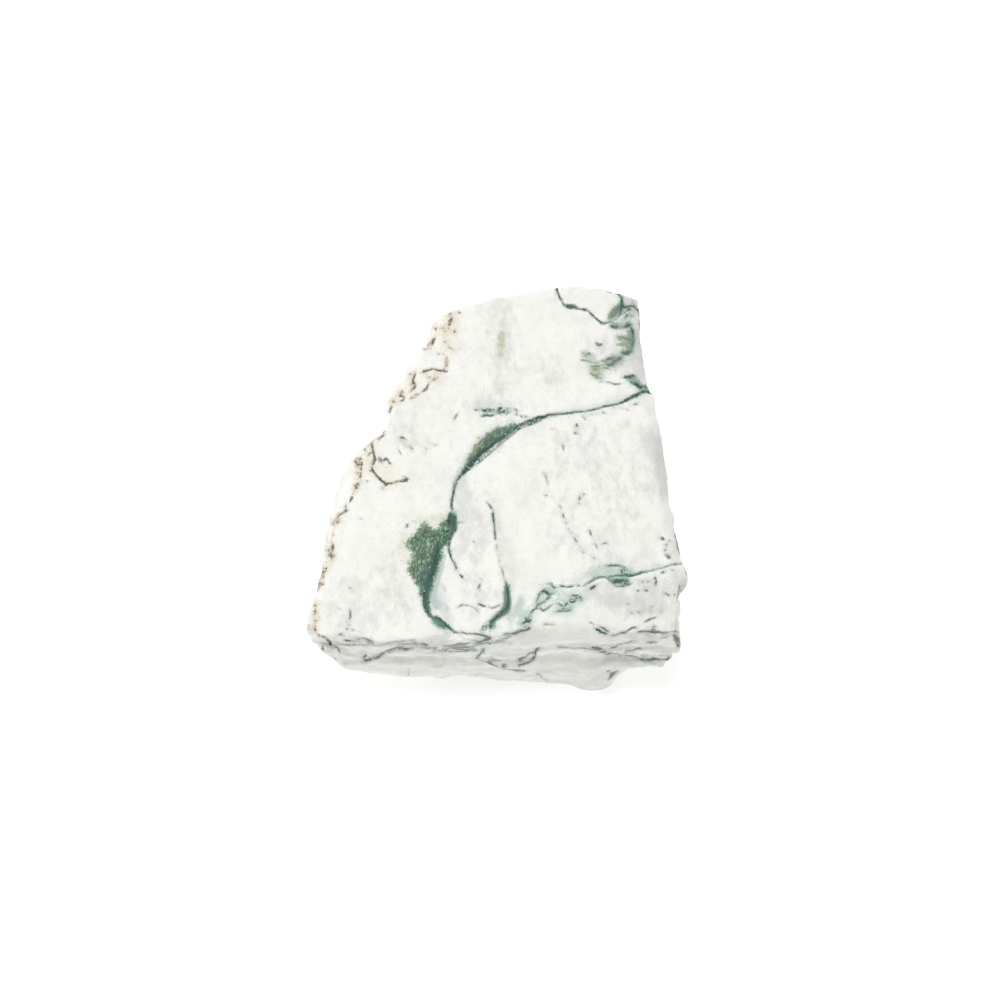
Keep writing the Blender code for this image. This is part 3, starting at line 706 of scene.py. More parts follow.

# Dark flecks, and painted shade in the front's right corner, in a recess at its foot and on the
# shadowed facets of the right edge.
DARK_AND_SHADE_FLECKS = (
    (0.40, ((599, 348, 3), (603, 352, 4))),
    (0.70, ((608, 360, 4), (615, 358, 4.5), (621, 358, 4))),
    (0.40, ((612, 372, 6), (620, 368, 6))),
    (0.45, ((616, 327, 4), (629, 325, 4))),
    (0.40, ((577, 424, 4.5), (576, 433, 4))),
    (0.30, ((583, 416, 4), (605, 412, 4), (640, 403, 4))),
    (0.35, ((579.5, 497, 4), (579, 504, 4))),
    (0.30, ((561, 507, 4), (566, 524, 4), (577, 542, 4), (584, 553, 4))),
    (0.30, ((589, 529, 3.5), (597, 548, 4))),
    (0.30, ((663, 540, 4), (667, 548, 3.5), (668, 556, 3))),
    (0.30, ((630, 612, 4), (652, 607, 4))),
    (0.38, ((640, 586, 6), (652, 582, 6), (664, 588, 6))),
    # Painted shade on the shadowed facets of the right edge.
    (0.75, ((676, 535, 2), (679.4, 544, 2.4), (681.4, 553, 2.4))),
    (0.40, ((402, 439, 4), (410, 447, 4.5))),
    (0.45, ((330, 548, 4.5), (331, 557, 4))),
    (0.35, ((418, 652, 4), (413, 660, 4))),
    (0.24, ((454, 648, 4), (468, 647, 4.5), (480, 643, 4.5), (490, 639, 4))),
    (0.40, ((514, 634, 4), (524, 630.5, 3.5))),
    # Painted shade: in the front's right corner, in a recess at its foot and on the right edge's
    # shadowed facets.
    (0.62, ((676, 639, 2.6), (677, 645, 2.6))),
    (0.55, ((618, 672.6, 1.2), (613, 675, 2), (609.6, 678.6, 1.2))),
    (0.60, ((684.6, 580, 1.8), (681.4, 590, 1.8), (680, 602, 1.6))),
    (0.55, ((660, 655, 4), (668, 653, 3.5))),
    (0.35, ((362, 656, 5), (366, 662, 5))),
)

OLIVE_FLECKS = (
    (0.85, ((502, 334, 3.4), (501.4, 345, 4), (500.6, 355, 3))),
    (0.36, ((505, 326, 7), (506, 342, 8), (503, 358, 6))),
    (0.50, ((583, 353.5, 4), (591, 356, 4))),
    (0.45, ((590, 364, 5), (597, 371, 6), (600, 377, 4))),
    (0.28, ((617, 337, 5), (623, 342, 5), (619, 348, 4))),
    (0.40, ((568, 304.6, 2.4), (578, 306.5, 2.4))),
    (0.25, ((610, 313, 3), (615, 306, 3))),
    (0.45, ((512, 421, 4), (497, 426.5, 5), (483, 437, 5), (472, 450, 5), (461, 467, 4))),
    (0.40, ((404, 534, 6), (404, 548, 5), (406, 562, 4))),
    (0.40, ((420, 519, 5), (436, 522, 5), (445, 515, 4))),
    (0.40, ((494, 512, 4), (495, 524, 4), (499, 560, 4), (503, 578, 4))),
    (0.45, ((543.5, 472, 3), (548, 483, 3.5), (547, 492, 3.5))),
    (0.50, ((626.5, 421.5, 4.5), (627.5, 424, 4.5))),
    (0.45, ((640, 613.8, 4), (650, 610, 4), (660, 612, 4))),
    (0.35, ((368, 644.5, 4.5), (382, 643.4, 5), (398, 643, 4.5))),
    (0.45, ((323, 575, 4), (322, 583, 4))),
    (0.40, ((402, 442, 7), (409, 448, 6))),
    (0.45, ((326, 641, 5), (330, 645, 5))),
)

RUST_FLECKS = (
    (0.60, ((434, 327, 6), (440, 330, 6))),
    (0.60, ((450, 313, 8), (450, 325, 8), (444, 333, 8))),
    (0.45, ((430, 342, 6), (428, 352, 5))),
    (0.60, ((454.5, 331, 4.5), (455, 333.5, 4.5))),
    (0.48, ((447, 344, 7), (452, 350, 7))),
    (0.85, ((446.6, 359, 2.6), (446.8, 365, 2.6))),
    (0.55, ((431, 377, 6), (436, 381, 6))),
    (0.95, ((418, 394.4, 1.8), (411.5, 398.2, 2.0))),
    (0.55, ((410, 374, 5), (412, 386, 6))),
    (0.50, ((424, 373, 5), (440, 374, 6))),
    (0.60, ((401, 391, 5), (400, 398, 6), (393, 401, 5))),
    (0.50, ((378, 434, 6), (371, 447, 7), (366, 458, 7), (374, 470, 7))),
    (0.42, ((380, 463, 7), (388, 468, 9))),
    (0.40, ((384, 482, 5), (392, 484, 5), (406, 480, 4))),
    (0.85, ((358, 461, 5), (359, 466, 4.5))),
    (0.62, ((358.5, 474, 5), (357, 485, 5), (354, 492, 4))),
    (1.0, ((334, 523, 3.4), (338.6, 520, 3.4))),
    (0.55, ((345, 511, 4.5), (338, 517, 5))),
    (0.45, ((333.5, 530, 4), (333.5, 537, 4))),
    (0.62, ((331, 545, 6), (330, 556, 6), (328.6, 565, 5))),
    (0.55, ((325, 571, 5), (321, 579, 5), (318, 588, 4))),
    (0.62, ((314.8, 603, 4.5), (315.2, 617, 5), (314.8, 631, 4.5))),
    (0.60, ((551.5, 429.5, 2.4), (554.5, 428.5, 2.4))),
    (0.50, ((333, 646, 5), (337, 648, 4))),
    (0.55, ((544, 624.1, 1.6), (554, 624.3, 1.6))),
    (0.32, ((402, 540, 7), (403, 556, 7))),
    (0.30, ((502, 333, 4), (501.4, 345, 5), (500.6, 356, 4))),
    (0.30, ((410, 518, 7), (425, 516, 6), (440, 515, 6))),
)

# Where small white crystals crowd, with painted glints on them.
CRYSTAL_AND_GLINT_FLECKS = (
    (0.6, ((543, 412.6, 2), (535, 415.6, 2.4), (526, 418.4, 2.6), (514, 430.4, 1.6))),
    (0.5, ((498, 413.6, 2.4), (510, 417, 3), (520, 419, 3))),
    (0.75, ((500, 441.6, 1.6), (488, 452.6, 2), (478, 462, 2), (467, 471.6, 1.8))),
    (0.45, ((452, 512, 2.4), (446, 517, 2))),
    (0.7, ((457, 569, 2), (460.4, 574, 2.4))),
    (0.6, ((440.6, 563, 1.6), (437, 571, 1.4))),
    (0.22, ((416, 535, 6), (426, 545, 7), (420, 560, 6))),
    (0.8, ((605, 325.6, 2), (611, 323, 1.4), (616.4, 318.8, 2))),
    (0.8, ((626, 313, 3), (635, 318, 4), (638, 326, 3))),
    (0.5, ((622, 330, 3), (626, 343, 4), (620, 350, 3))),
    (0.6, ((641, 379, 2), (648, 385, 2.4))),
    (0.5, ((604, 372, 4), (617, 368, 5), (630, 362, 5))),
    (0.4, ((576, 586, 3), (600, 574, 4), (616, 568, 3))),
    (0.8, ((547, 596, 4), (556, 600, 5), (570, 605, 5), (576, 597, 4))),
    (0.7, ((650, 572, 4), (662, 574, 5), (672, 586, 6), (676, 600, 5))),
    (0.4, ((510, 604, 2), (503, 614, 2), (494, 624, 2))),
    (0.35, ((600, 455, 5), (620, 478, 6), (640, 486, 5))),
)

# Greyer, clearer quartz, and painted shade on surfaces that face away from the light: at the
# right edge, at the front's right, over the lower left and in the teardrop.
CLEAR_AND_SHADE_FLECKS = (
    (0.42, ((585, 436, 16), (604, 470, 20), (622, 510, 20), (616, 545, 16))),
    (0.36, ((560, 500, 14), (566, 540, 16), (590, 560, 12))),
    (0.9, ((462, 476, 6), (461, 487, 6), (466, 494, 5))),
    (0.75, ((487, 455, 4), (500, 444, 4))),
    (1.0, ((630, 299, 6), (632, 312, 7), (628, 322, 6))),
    (0.85, ((634, 318, 8), (637, 345, 8), (642, 370, 8))),
    (0.6, ((612, 350, 8), (625, 366, 9))),
    # Painted shade on the front's right facets, which face away from the light.
    (0.6, ((632, 641, 9), (646, 640, 8), (676, 626, 6))),
    (0.55, ((597, 350, 9), (608, 342, 9))),
    # Painted shade on the facets of the right edge, which face away from the light.
    (1.0, ((650, 442, 10), (660, 455, 11), (665, 472, 10), (668, 490, 8))),
    (0.5, ((640, 470, 14), (648, 486, 12))),
    (0.55, ((503, 295, 9), (503, 330, 12), (504, 365, 12), (500, 392, 9))),
    (0.5, ((470, 408, 9), (490, 404, 9), (505, 404, 7))),
    (0.6, ((576, 580, 7), (600, 572, 10), (628, 567, 9))),
    (0.7, ((590, 592, 10), (620, 598, 14), (640, 604, 14), (656, 598, 14))),
    # Painted shade over the lower left of the top, which slopes away from the light.
    (0.5, ((380, 596, 14), (402, 605, 16), (398, 582, 10))),
    (0.4, ((545, 370, 10), (552, 378, 10))),
    (0.45, ((395, 407, 7), (401, 425, 9), (425, 446, 9))),
    (0.45, ((337, 600, 9), (346, 612, 10), (346, 630, 8))),
    (0.5, ((563, 436, 10), (566, 456, 10), (562, 470, 8))),
    (0.55, ((600, 552, 14), (622, 560, 12))),
    (0.5, ((504, 600, 12), (513, 612, 9))),
    (0.5, ((480, 585, 7), (477, 597, 8))),
    (0.6, ((452, 552, 4), (455, 562, 4), (458, 570, 4))),
    # Grey, clearer quartz in the teardrop, deepened by painted shade.
    (0.75, ((464, 500, 9), (466, 520, 10), (462, 545, 8))),
    (0.55, ((474, 505, 14), (478, 530, 14), (474, 556, 14))),
    (0.45, ((470, 580, 16), (480, 610, 14))),
    # Painted shade over the lower left of the top, which slopes away from the light.
    (0.55, ((355, 590, 14), (352, 608, 14), (368, 622, 12))),
    (0.5, ((388, 572, 14), (384, 600, 16))),
)

# Where thin lines braid between the beds.
BRAID_FLECKS = (
    (0.6, ((630, 298, 5), (634, 314, 5), (639, 342, 5), (644, 366, 5))),
    (0.4, ((322, 642, 6), (350, 644, 7), (400, 646, 7), (432, 648, 8))),
    (0.7, ((436, 647, 9), (460, 648, 10), (486, 646, 10), (505, 641, 8))),
    (0.3, ((505, 638, 6), (530, 632, 6), (560, 627, 5))),
    (0.3, ((520, 655, 8), (540, 652, 8))),
    (0.5, ((590, 650, 7), (620, 652, 8), (645, 657, 8), (672, 657, 6))),
    (0.5, ((605, 636, 6), (640, 634, 7), (679, 634, 7))),
    (0.4, ((645, 616, 6), (660, 610, 6), (676, 606, 6))),
    (0.3, ((600, 662, 6), (640, 662, 6), (665, 661, 5))),
    (0.2, ((350, 660, 10), (420, 662, 10), (480, 668, 8))),
    (0.2, ((540, 672, 9), (600, 674, 9))),
)

# The bluish, crystalline band between the moss patch and the teardrop.
ICE_FLECKS = (
    (1.0, (
        (444, 556, 1.8), (442, 563, 2.4), (439, 573, 3.2), (436, 583, 3.8), (434, 595, 4),
        (436, 606, 3.4),
    )),
    (0.6, ((441, 588, 6), (440, 600, 6), (446, 614, 5), (452, 622, 4))),
    (0.55, ((519, 600, 6), (516, 612, 7), (508, 622, 7))),
    (0.4, ((560, 592, 9), (565, 606, 8))),
)

# The names that the markings are stored under on the mesh, for the material to read.
SEAMS = {
    "green_seams": GREEN_SEAMS,
    "dark_seams_and_shadow_lines": DARK_SEAMS_AND_SHADOW_LINES,
    "brown_seams": BROWN_SEAMS,
    "olive_seams": OLIVE_SEAMS,
}
# The seams that lie in grooves.
GROOVED = ("green_seams", "dark_seams_and_shadow_lines", "brown_seams")
PATCHES = {"moss": MOSS_PATCHES, "teal": TEAL_PATCHES}
FLECKS = {
    "moss_flecks": MOSS_FLECKS,
    "deep_flecks": DEEP_FLECKS,
    "dark_and_shade_flecks": DARK_AND_SHADE_FLECKS,
    "olive_flecks": OLIVE_FLECKS,
    "rust_flecks": RUST_FLECKS,
    "clear_and_shade_flecks": CLEAR_AND_SHADE_FLECKS,
    "crystal_and_glint_flecks": CRYSTAL_AND_GLINT_FLECKS,
    "ice_flecks": ICE_FLECKS,
}

# Steps of the surface along a path: how high its left side stands, in millimetres, how far
# each side of the step reaches and how wide the step is, in pixels.
STEPS = (
    (0.28, 26, 2.2, (
        (655, 392), (617, 405), (564, 415), (536, 421), (514, 433), (494, 450), (465, 474),
        (456, 484),
    )),
    (0.45, 9, 1.8, ((412, 650), (397, 651), (383, 655), (365, 662), (345, 664))),
    (0.40, 8, 1.6, ((560, 648.5), (592, 650.5), (624, 655.5), (644, 660), (668, 661))),
    (0.45, 8, 1.8, ((475, 658.5), (491, 665), (505, 670), (526, 672.5), (545, 680))),
    (0.30, 6, 1.4, ((318, 637.5), (351, 643), (373, 645), (395, 644), (415, 642), (432, 646))),
    (0.30, 5, 1.4, ((432, 650.5), (449, 653.5), (480, 652.5))),
    (0.32, 6, 1.4, ((612, 636), (640, 632.6), (664, 634), (679, 634))),
    (0.26, 8, 1.6, ((681, 564.5), (657, 570.5), (629, 577), (600, 579), (586, 585.5), (560, 587))),
)

# Behind the photographed face, the seams run down through the stone and wander: from how deep,
# in what rhythm, and by what share of the depth.
WANDER_FROM_MM = 0.5
WANDER_SIZE_MM = 15.0
WANDER_SHARE = 0.5
# The places in the noise that the two directions of the wandering are read at.
WANDER_SHIFTS = (Vector((0.0, 0.0, 0.0)), Vector((31.4, 47.1, 12.8)))
# How much of its width a moss patch loses for each millimetre of depth.
MOSS_CLOSES = 0.16
# How deep the flecks and the steps reach, and the depths between which the braid of thin lines
# comes in, with how dense it is there.
FLECKS_END_MM = 9.0
STEPS_END_MM = 4.0
STEPS_FADE_MM = 3.0
BRAID_FROM_MM, BRAID_TO_MM = 1.0, 5.0
HIDDEN_BRAID = 0.30

# Between these heights above the floor, the relief grows from nothing to its full height.
RELIEF_FROM_MM, RELIEF_TO_MM = 0.4, 2.5
# How far up the surface has to face to count as the top, and how little may lie over it.
TOP_FROM, TOP_TO = 0.35, 0.75
TOP_BEHIND_MM = 1.0
# A groove's lip past the seam's edge, and how softly it falls away.
GROOVE_LIP_MM, GROOVE_SOFT_MM = 0.25, 0.45
# Sizes of the relief's patterns.
LUMP_MM = 5.5
CHIP_MM = 3.6
HACKLE_MM = 1.3
GRAIN_MM = 1.1
# The plates that the beds of the sides are broken into, in millimetres across, along and up,
# and how the beds tilt.
BED_PLATE = (8.0, 8.0, 1.7)
BED_TILT = (math.radians(-3.0), math.radians(4.0), 0.0)
# How far up a plate the unmoved surface lies. Below the plates' mean height, they stand proud.
PLATE_LEVEL = 0.14
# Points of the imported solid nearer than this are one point.
MERGE_MM = 0.001

# Points that a smooth path has for each of its own.
PATH_STEPS = 4
# From a spot's middle to each end of its dash, across and down, in pixels.
SPOT_STEP = np.array((0.3, 0.1, 0.0))
# A seam's half width shrinks this many times faster than the way past this many pixels off its
# edge, so that two seams side by side don't join.
EDGE_CLEAR, EDGE_FALL = 1.1, 3.0
# A thinner seam is taken to be this wide there, because its halo and crumbs need room.
LEAST_HALF = 0.6
# How far flecks thin out from their path, as a multiple of its reach, and where they stop.
FLECK_SPREAD = 2.3
FLECK_BOX = 2.0
# The depth stored away from every seam and patch, and how far off one is still looked for.
OFF_PATH = -9.0
REACH_PIXELS = 8.0

# Sizes of the noises that break the markings up, in millimetres.
BROAD_MM = 8.0
FINE_MM = 1.6
SPECKLE_MM = 0.40
WOBBLE_MM = 1.5
# The ranges of depth, in millimetres, over which a seam's halo and core come in.
HALO_FROM, HALO_TO = -0.9, 0.3
CORE_EDGE = 0.18
# The range of the grain in which crumbs show, and how fast they end away from the seam.
CRUMBS_FROM, CRUMBS_TO = 0.55, 0.70
CRUMBS_END = 0.30
# The half width from which a seam has its full colour.
FULL_HALF_MM = 0.17
# The depth over which a patch of moss comes in, and that of the mint haze round it.
MOSS_FROM, MOSS_TO = -0.36, 0.40
HAZE_FROM, HAZE_TO = -1.2, 0.3
# The large soft light: where it hangs and how long its sides are, in metres.
KEY_PLACE = (-0.34, 0.30, 1.28)
KEY_SIDE = 0.90

# What every colour setting shares.
COLOUR = {"subtype": "COLOR", "size": 4, "min": 0.0, "max": 1.0}


class AgateStone(bpy.types.PropertyGroup):
    """Sizes and colours of the stone."""

    spacing: bpy.props.FloatProperty(
        name="Mesh spacing",
        description="Distance between the points of the finished stone's mesh",
        default=0.45 * MM,
        unit="LENGTH",
    )
    lump_height: bpy.props.FloatProperty(
        name="Lump height",
        description="Height of the low lumps over the whole stone",
        default=0.55 * MM,
        unit="LENGTH",
    )
    chip_depth: bpy.props.FloatProperty(
        name="Chip depth",
        description="Depth of the chips broken out of the sides",
        default=0.9 * MM,
        unit="LENGTH",
    )
    bed_height: bpy.props.FloatProperty(
        name="Bed height",
        description="How far the thin beds stand out of the sides",
        default=0.9 * MM,
        unit="LENGTH",
    )
    hackle_height: bpy.props.FloatProperty(
        name="Hackle height",
        description="Height of the small splintery steps on the sides",
        default=0.18 * MM,
        unit="LENGTH",
    )
    grain_height: bpy.props.FloatProperty(
        name="Grain height",
        description="Height of the sugary grain",
        default=0.12 * MM,
        unit="LENGTH",
    )
    groove_depth: bpy.props.FloatProperty(
        name="Groove depth",
        description="Depth of the grooves along seams and cracks",
        default=0.14 * MM,
        unit="LENGTH",
    )
    milk_white: bpy.props.FloatVectorProperty(
        name="Milk white",
        description="Colour of the milky quartz",
        default=(0.800, 0.802, 0.758, 1.0),
        **COLOUR,
    )
    # Also the colour of the shade painted on surfaces that face away from the light.
    cloud_and_shade_grey: bpy.props.FloatVectorProperty(
        name="Cloud grey",
        description="Colour of the clearer, greyer quartz",
        default=(0.58, 0.58, 0.555, 1.0),
        **COLOUR,
    )
    ice_blue: bpy.props.FloatVectorProperty(
        name="Ice blue",
        description="Colour of the bluish crystalline quartz",
        default=(0.38, 0.46, 0.45, 1.0),
        **COLOUR,
    )
    moss_green: bpy.props.FloatVectorProperty(
        name="Moss green",
        description="Colour of the moss inside the stone",
        default=(0.078, 0.155, 0.085, 1.0),
        **COLOUR,
    )
    deep_teal: bpy.props.FloatVectorProperty(
        name="Deep teal",
        description="Colour of the seams and of the thickest moss",
        default=(0.038, 0.122, 0.090, 1.0),
        **COLOUR,
    )
    sea_green: bpy.props.FloatVectorProperty(
        name="Sea green",
        description="Colour of the clearer, bluer moss",
        default=(0.085, 0.25, 0.17, 1.0),
        **COLOUR,
    )
    pale_moss: bpy.props.FloatVectorProperty(
        name="Pale moss",
        description="Colour of the pale fibres in the moss",
        default=(0.36, 0.50, 0.36, 1.0),
        **COLOUR,
    )
    mint: bpy.props.FloatVectorProperty(
        name="Mint",
        description="Colour of the haze round the green strokes",
        default=(0.40, 0.55, 0.46, 1.0),
        **COLOUR,
    )
    # Also the colour of the glints painted on the crystals.
    crystal_and_glint_white: bpy.props.FloatVectorProperty(
        name="Crystal white",
        description="Colour of the small crystals scattered over the stone",
        default=(0.90, 0.91, 0.88, 1.0),
        **COLOUR,
    )
    deepest: bpy.props.FloatVectorProperty(
        name="Deepest green",
        description="Colour of the darkest grains in the seams and the moss",
        default=(0.022, 0.055, 0.040, 1.0),
        **COLOUR,
    )
    olive: bpy.props.FloatVectorProperty(
        name="Olive",
        description="Colour of the thin fringes of the moss",
        default=(0.29, 0.32, 0.175, 1.0),
        **COLOUR,
    )
    rust: bpy.props.FloatVectorProperty(
        name="Rust",
        description="Colour of the iron stains",
        default=(0.60, 0.46, 0.25, 1.0),
        **COLOUR,
    )
    # Also the halo of the painted shadow lines and the haze of the painted shade flecks.
    crack_and_shadow_grey: bpy.props.FloatVectorProperty(
        name="Crack grey",
        description="Colour of the faint lines between the beds",
        default=(0.24, 0.27, 0.245, 1.0),
        **COLOUR,
    )
    # Also the colour of the painted shadow lines and the painted shade flecks.
    dark: bpy.props.FloatVectorProperty(
        name="Dark grey",
        description="Colour of the cracks and the dark flecks",
        default=(0.085, 0.10, 0.088, 1.0),
        **COLOUR,
    )
    bark: bpy.props.FloatVectorProperty(
        name="Bark brown",
        description="Colour of the thinner parts of the dendrites",
        default=(0.19, 0.165, 0.115, 1.0),
        **COLOUR,
    )
    dendrite: bpy.props.FloatVectorProperty(
        name="Dendrite brown",
        description="Colour of the dendrites at the weathered edge",
        default=(0.060, 0.055, 0.038, 1.0),
        **COLOUR,
    )


class AgateStage(bpy.types.PropertyGroup):
    """The floor, the light and the camera."""

    floor_colour: bpy.props.FloatVectorProperty(
        name="Floor colour",
        description="Colour of the plain floor",
        default=(0.93, 0.93, 0.93, 1.0),
        **COLOUR,
    )
    floor_side: bpy.props.FloatProperty(
        name="Floor side",
        description="Length of the floor's side",
        default=6.0,
        unit="LENGTH",
    )
    floor_glow: bpy.props.FloatProperty(
        name="Floor glow",
        description="Strength of the light that the floor gives off, as a light table does",
        default=0.40,
    )
    sky: bpy.props.FloatProperty(
        name="Sky",
        description="Strength of the even light from all round",
        default=0.57,
    )
    key: bpy.props.FloatProperty(
        name="Key light",
        description="Power of the large soft light above the stone",
        default=12.8,
        unit="POWER",
    )
    lens: bpy.props.FloatProperty(
        name="Lens",
        description="Focal length of the camera",
        default=LENS,
        unit="CAMERA",
    )


def corners(mesh):
    """The mesh's points as rows of x, y and z, in metres."""
    flat = np.empty(len(mesh.vertices) * 3, np.float32)
    mesh.vertices.foreach_get("co", flat)
    return flat.reshape(-1, 3).astype(float)


def normals(mesh):
    """The way that the surface faces at each point."""
    flat = np.empty(len(mesh.vertices) * 3, np.float32)
    mesh.vertex_normals.foreach_get("vector", flat)
    return flat.reshape(-1, 3).astype(float)


def smooth(values, low=0.0, high=1.0):
    """0 below low, 1 above high, and an even curve between."""
    held = np.clip((values - low) / (high - low), 0.0, 1.0)
    return held * held * (3.0 - 2.0 * held)


def pixels_of(places):
    """Where the photograph's camera sees each place, as pixels across and down."""
    sight = places - np.array(EYE)
    scale = LENS / SENSOR * PICTURE_SIDE / -(sight @ np.array(BACK))
    half = PICTURE_SIDE / 2
    return np.column_stack((half + sight[:, 0] * scale, half - sight @ np.array(UP) * scale))


def depth_behind(mesh, places):
    """How far each place lies behind the face that the photograph shows, in millimetres."""
    tree = BVHTree.FromPolygons(places.tolist(), [face.vertices for face in mesh.polygons])
    behind = np.zeros(len(places))
    for index, place in enumerate(places):
        sight = Vector(place) - EYE
        distance = tree.ray_cast(EYE, sight)[3]
        if distance is not None:
            behind[index] = max(0.0, sight.length - distance) / MM
    return behind


def wandered(pixels, places, behind):
    """The pixels, moved about where the seams wander behind the photographed face."""
    moved = pixels.copy()
    for index in np.flatnonzero(behind > WANDER_FROM_MM):
        place = Vector(places[index]) / (WANDER_SIZE_MM * MM)
        drift = [noise.noise(place + shift) for shift in WANDER_SHIFTS]
        moved[index] += np.array(drift) * WANDER_SHARE * behind[index] / PIXEL_MM
    return moved


def eased(path):
    """The path's points with more between them, on a smooth curve through all of them. A
    path of one point becomes a short dash."""
    points = np.array(path, float)
    if len(points) == 1:
        return np.vstack((points - SPOT_STEP, points + SPOT_STEP))
    padded = np.vstack((2 * points[0] - points[1], points, 2 * points[-1] - points[-2]))
    made = []
    for before, start, end, after in zip(padded, padded[1:], padded[2:], padded[3:]):
        for share in np.arange(PATH_STEPS) / PATH_STEPS:
            bend = 2 * before - 5 * start + 4 * end - after
            twist = 3 * (start - end) + after - before
            made.append(start + share / 2 * (end - before + share * (bend + share * twist)))
    made.append(points[-1])
    return np.array(made)


def near(pixels, path, reach):
    """The rows of the pixels that lie within this reach of the path's box."""
    low = path[:, :2].min(axis=0) - reach
    high = path[:, :2].max(axis=0) + reach
    return np.flatnonzero(((pixels > low) & (pixels < high)).all(axis=1))


def follow(pixels, path):
    """For each pixel, the gap to the path, the signed gap (right of the path is positive),
    the length run along it, how far past its ends, and what else its rows hold there."""
    gap = np.full(len(pixels), np.inf)
    side, along, past = np.zeros((3, len(pixels)))
    held = np.zeros((len(pixels), path.shape[1] - 2))
    run_before = 0.0
    last = len(path) - 2
    for index, (start, end) in enumerate(zip(path, path[1:])):
        run = end[:2] - start[:2]
        length = np.hypot(*run)
        from_start = pixels - start[:2]
        share = from_start @ run / length**2
        kept = np.clip(share, 0.0, 1.0)
        off = from_start - kept[:, None] * run
        distance = np.hypot(off[:, 0], off[:, 1])
        across = (run[0] * from_start[:, 1] - run[1] * from_start[:, 0]) / length
        beyond = np.zeros(len(pixels))
        if index == 0:
            beyond = np.maximum(beyond, -share * length)
        if index == last:
            beyond = np.maximum(beyond, (share - 1.0) * length)
        closer = distance < gap
        gap[closer] = distance[closer]
        signed = np.where(beyond > 0.0, across, np.sign(across) * distance)
        side[closer] = signed[closer]
        along[closer] = (run_before + kept * length)[closer]
        past[closer] = beyond[closer]
        held[closer] = (start[2:] + kept[:, None] * (end[2:] - start[2:]))[closer]
        run_before += length
    return gap, side, along, past, held


def seam_field(pixels, seams):
    """Each pixel's place beside its nearest seam: across it, along it and the half width
    there, in millimetres. The half width is far below 0 away from every seam."""
    field = np.zeros((len(pixels), 3))
    field[:, 2] = OFF_PATH
    inside = np.full(len(pixels), -np.inf)
    for seam in seams:
        path = eased(seam)
        rows = near(pixels, path, REACH_PIXELS)
        if not len(rows):
            continue
        gap, side, along, past, held = follow(pixels[rows], path)
        half = held[:, 0] - past
        clear = np.abs(side) - np.maximum(half, LEAST_HALF) - EDGE_CLEAR
        half -= EDGE_FALL * np.maximum(0.0, clear)
        found = (gap < REACH_PIXELS) & (half - np.abs(side) > inside[rows])
        rows, values = rows[found], np.column_stack((side, along, half))[found]
        field[rows] = values * PIXEL_MM
        inside[rows] = values[:, 2] - np.abs(values[:, 0])
    return field


def patch_field(pixels, patches):
    """Each pixel's depth inside its nearest patch, in millimetres, how deep its green is,
    from 0 to 1, and how much the patch hides."""
    field = np.zeros((len(pixels), 3))
    field[:, 0] = OFF_PATH
    for cover, fringe, patch in patches:
        outline = np.array(patch + patch[:1], float)
        rows = near(pixels, outline, REACH_PIXELS)
        if not len(rows):
            continue
        spots = pixels[rows]
        gap = follow(spots, outline)[0]
        within = np.zeros(len(rows), bool)
        for (x, y), (next_x, next_y) in zip(outline, outline[1:]):
            crosses = (y > spots[:, 1]) != (next_y > spots[:, 1])
            height = np.where(crosses, spots[:, 1] - y, 0.0)
            meets = x + height * (next_x - x) / (next_y - y if next_y != y else 1.0)
            within ^= crosses & (spots[:, 0] < meets)
        depth = np.where(within, gap, -gap) * PIXEL_MM
        low, high = outline.min(axis=0), outline.max(axis=0)
        tone = 1.0 - fringe * (1.0 - ((spots - low) / (high - low)).mean(axis=1))
        found = depth > field[rows, 0]
        field[rows[found], 0] = depth[found]
        field[rows[found], 1] = tone[found]
        field[rows[found], 2] = cover
    return field


def fleck_field(pixels, flecks):
    """How dense the flecks are at each pixel, from 0 to 1."""
    dense = np.zeros(len(pixels))
    for density, stroke in flecks:
        path = np.array(stroke, float)
        rows = near(pixels, path, path[:, 2].max() * FLECK_BOX)
        if not len(rows):
            continue
        gap, _, _, _, reach = follow(pixels[rows], path)
        share = smooth(1.0 - gap / (FLECK_SPREAD * reach[:, 0]))
        dense[rows] = np.maximum(dense[rows], density * share)
    return dense


def store(mesh, name, values):
    """Keep a value or a triple for each point, for the material to read."""
    kind = "FLOAT" if values.ndim == 1 else "FLOAT_VECTOR"
    field = "value" if values.ndim == 1 else "vector"
    attribute = mesh.attributes.new(name, kind, "POINT")
    attribute.data.foreach_set(field, values.astype(np.float32).ravel())


def weigh(stone, name, weights):
    """A vertex group from an array of weights, in steps fine enough not to show."""
    group = stone.vertex_groups.new(name=name)
    steps = 60
    levels = np.round(np.clip(weights, 0.0, 1.0) * steps).astype(int)
    for level in range(1, steps + 1):
        group.add(np.flatnonzero(levels == level).tolist(), level / steps, "REPLACE")


def make_active(thing):
    """Select this object alone, for the operators."""
    bpy.ops.object.select_all(action="DESELECT")
    thing.select_set(True)
    bpy.context.view_layer.objects.active = thing


def even_copy(spacing):
    """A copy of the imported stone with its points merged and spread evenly."""
    make_active(frame["nodes"][NODE])
    bpy.ops.object.duplicate()
    stone = bpy.context.active_object
    stone.name = "tree_agate"
    stone.data.name = "tree_agate"
    del stone["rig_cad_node"]
    stone.parent = None
    bpy.ops.object.mode_set(mode="EDIT")
    bpy.ops.mesh.select_all(action="SELECT")
    bpy.ops.mesh.remove_doubles(threshold=MERGE_MM * MM)
    bpy.ops.object.mode_set(mode="OBJECT")
    stone.data.materials.clear()
    stone.data.remesh_voxel_size = spacing
    bpy.ops.object.voxel_remesh()
    bpy.ops.object.mode_set(mode="EDIT")
    bpy.ops.mesh.select_all(action="SELECT")
    bpy.ops.mesh.vertices_smooth(factor=0.5, repeat=3)
    bpy.ops.object.mode_set(mode="OBJECT")
    return stone


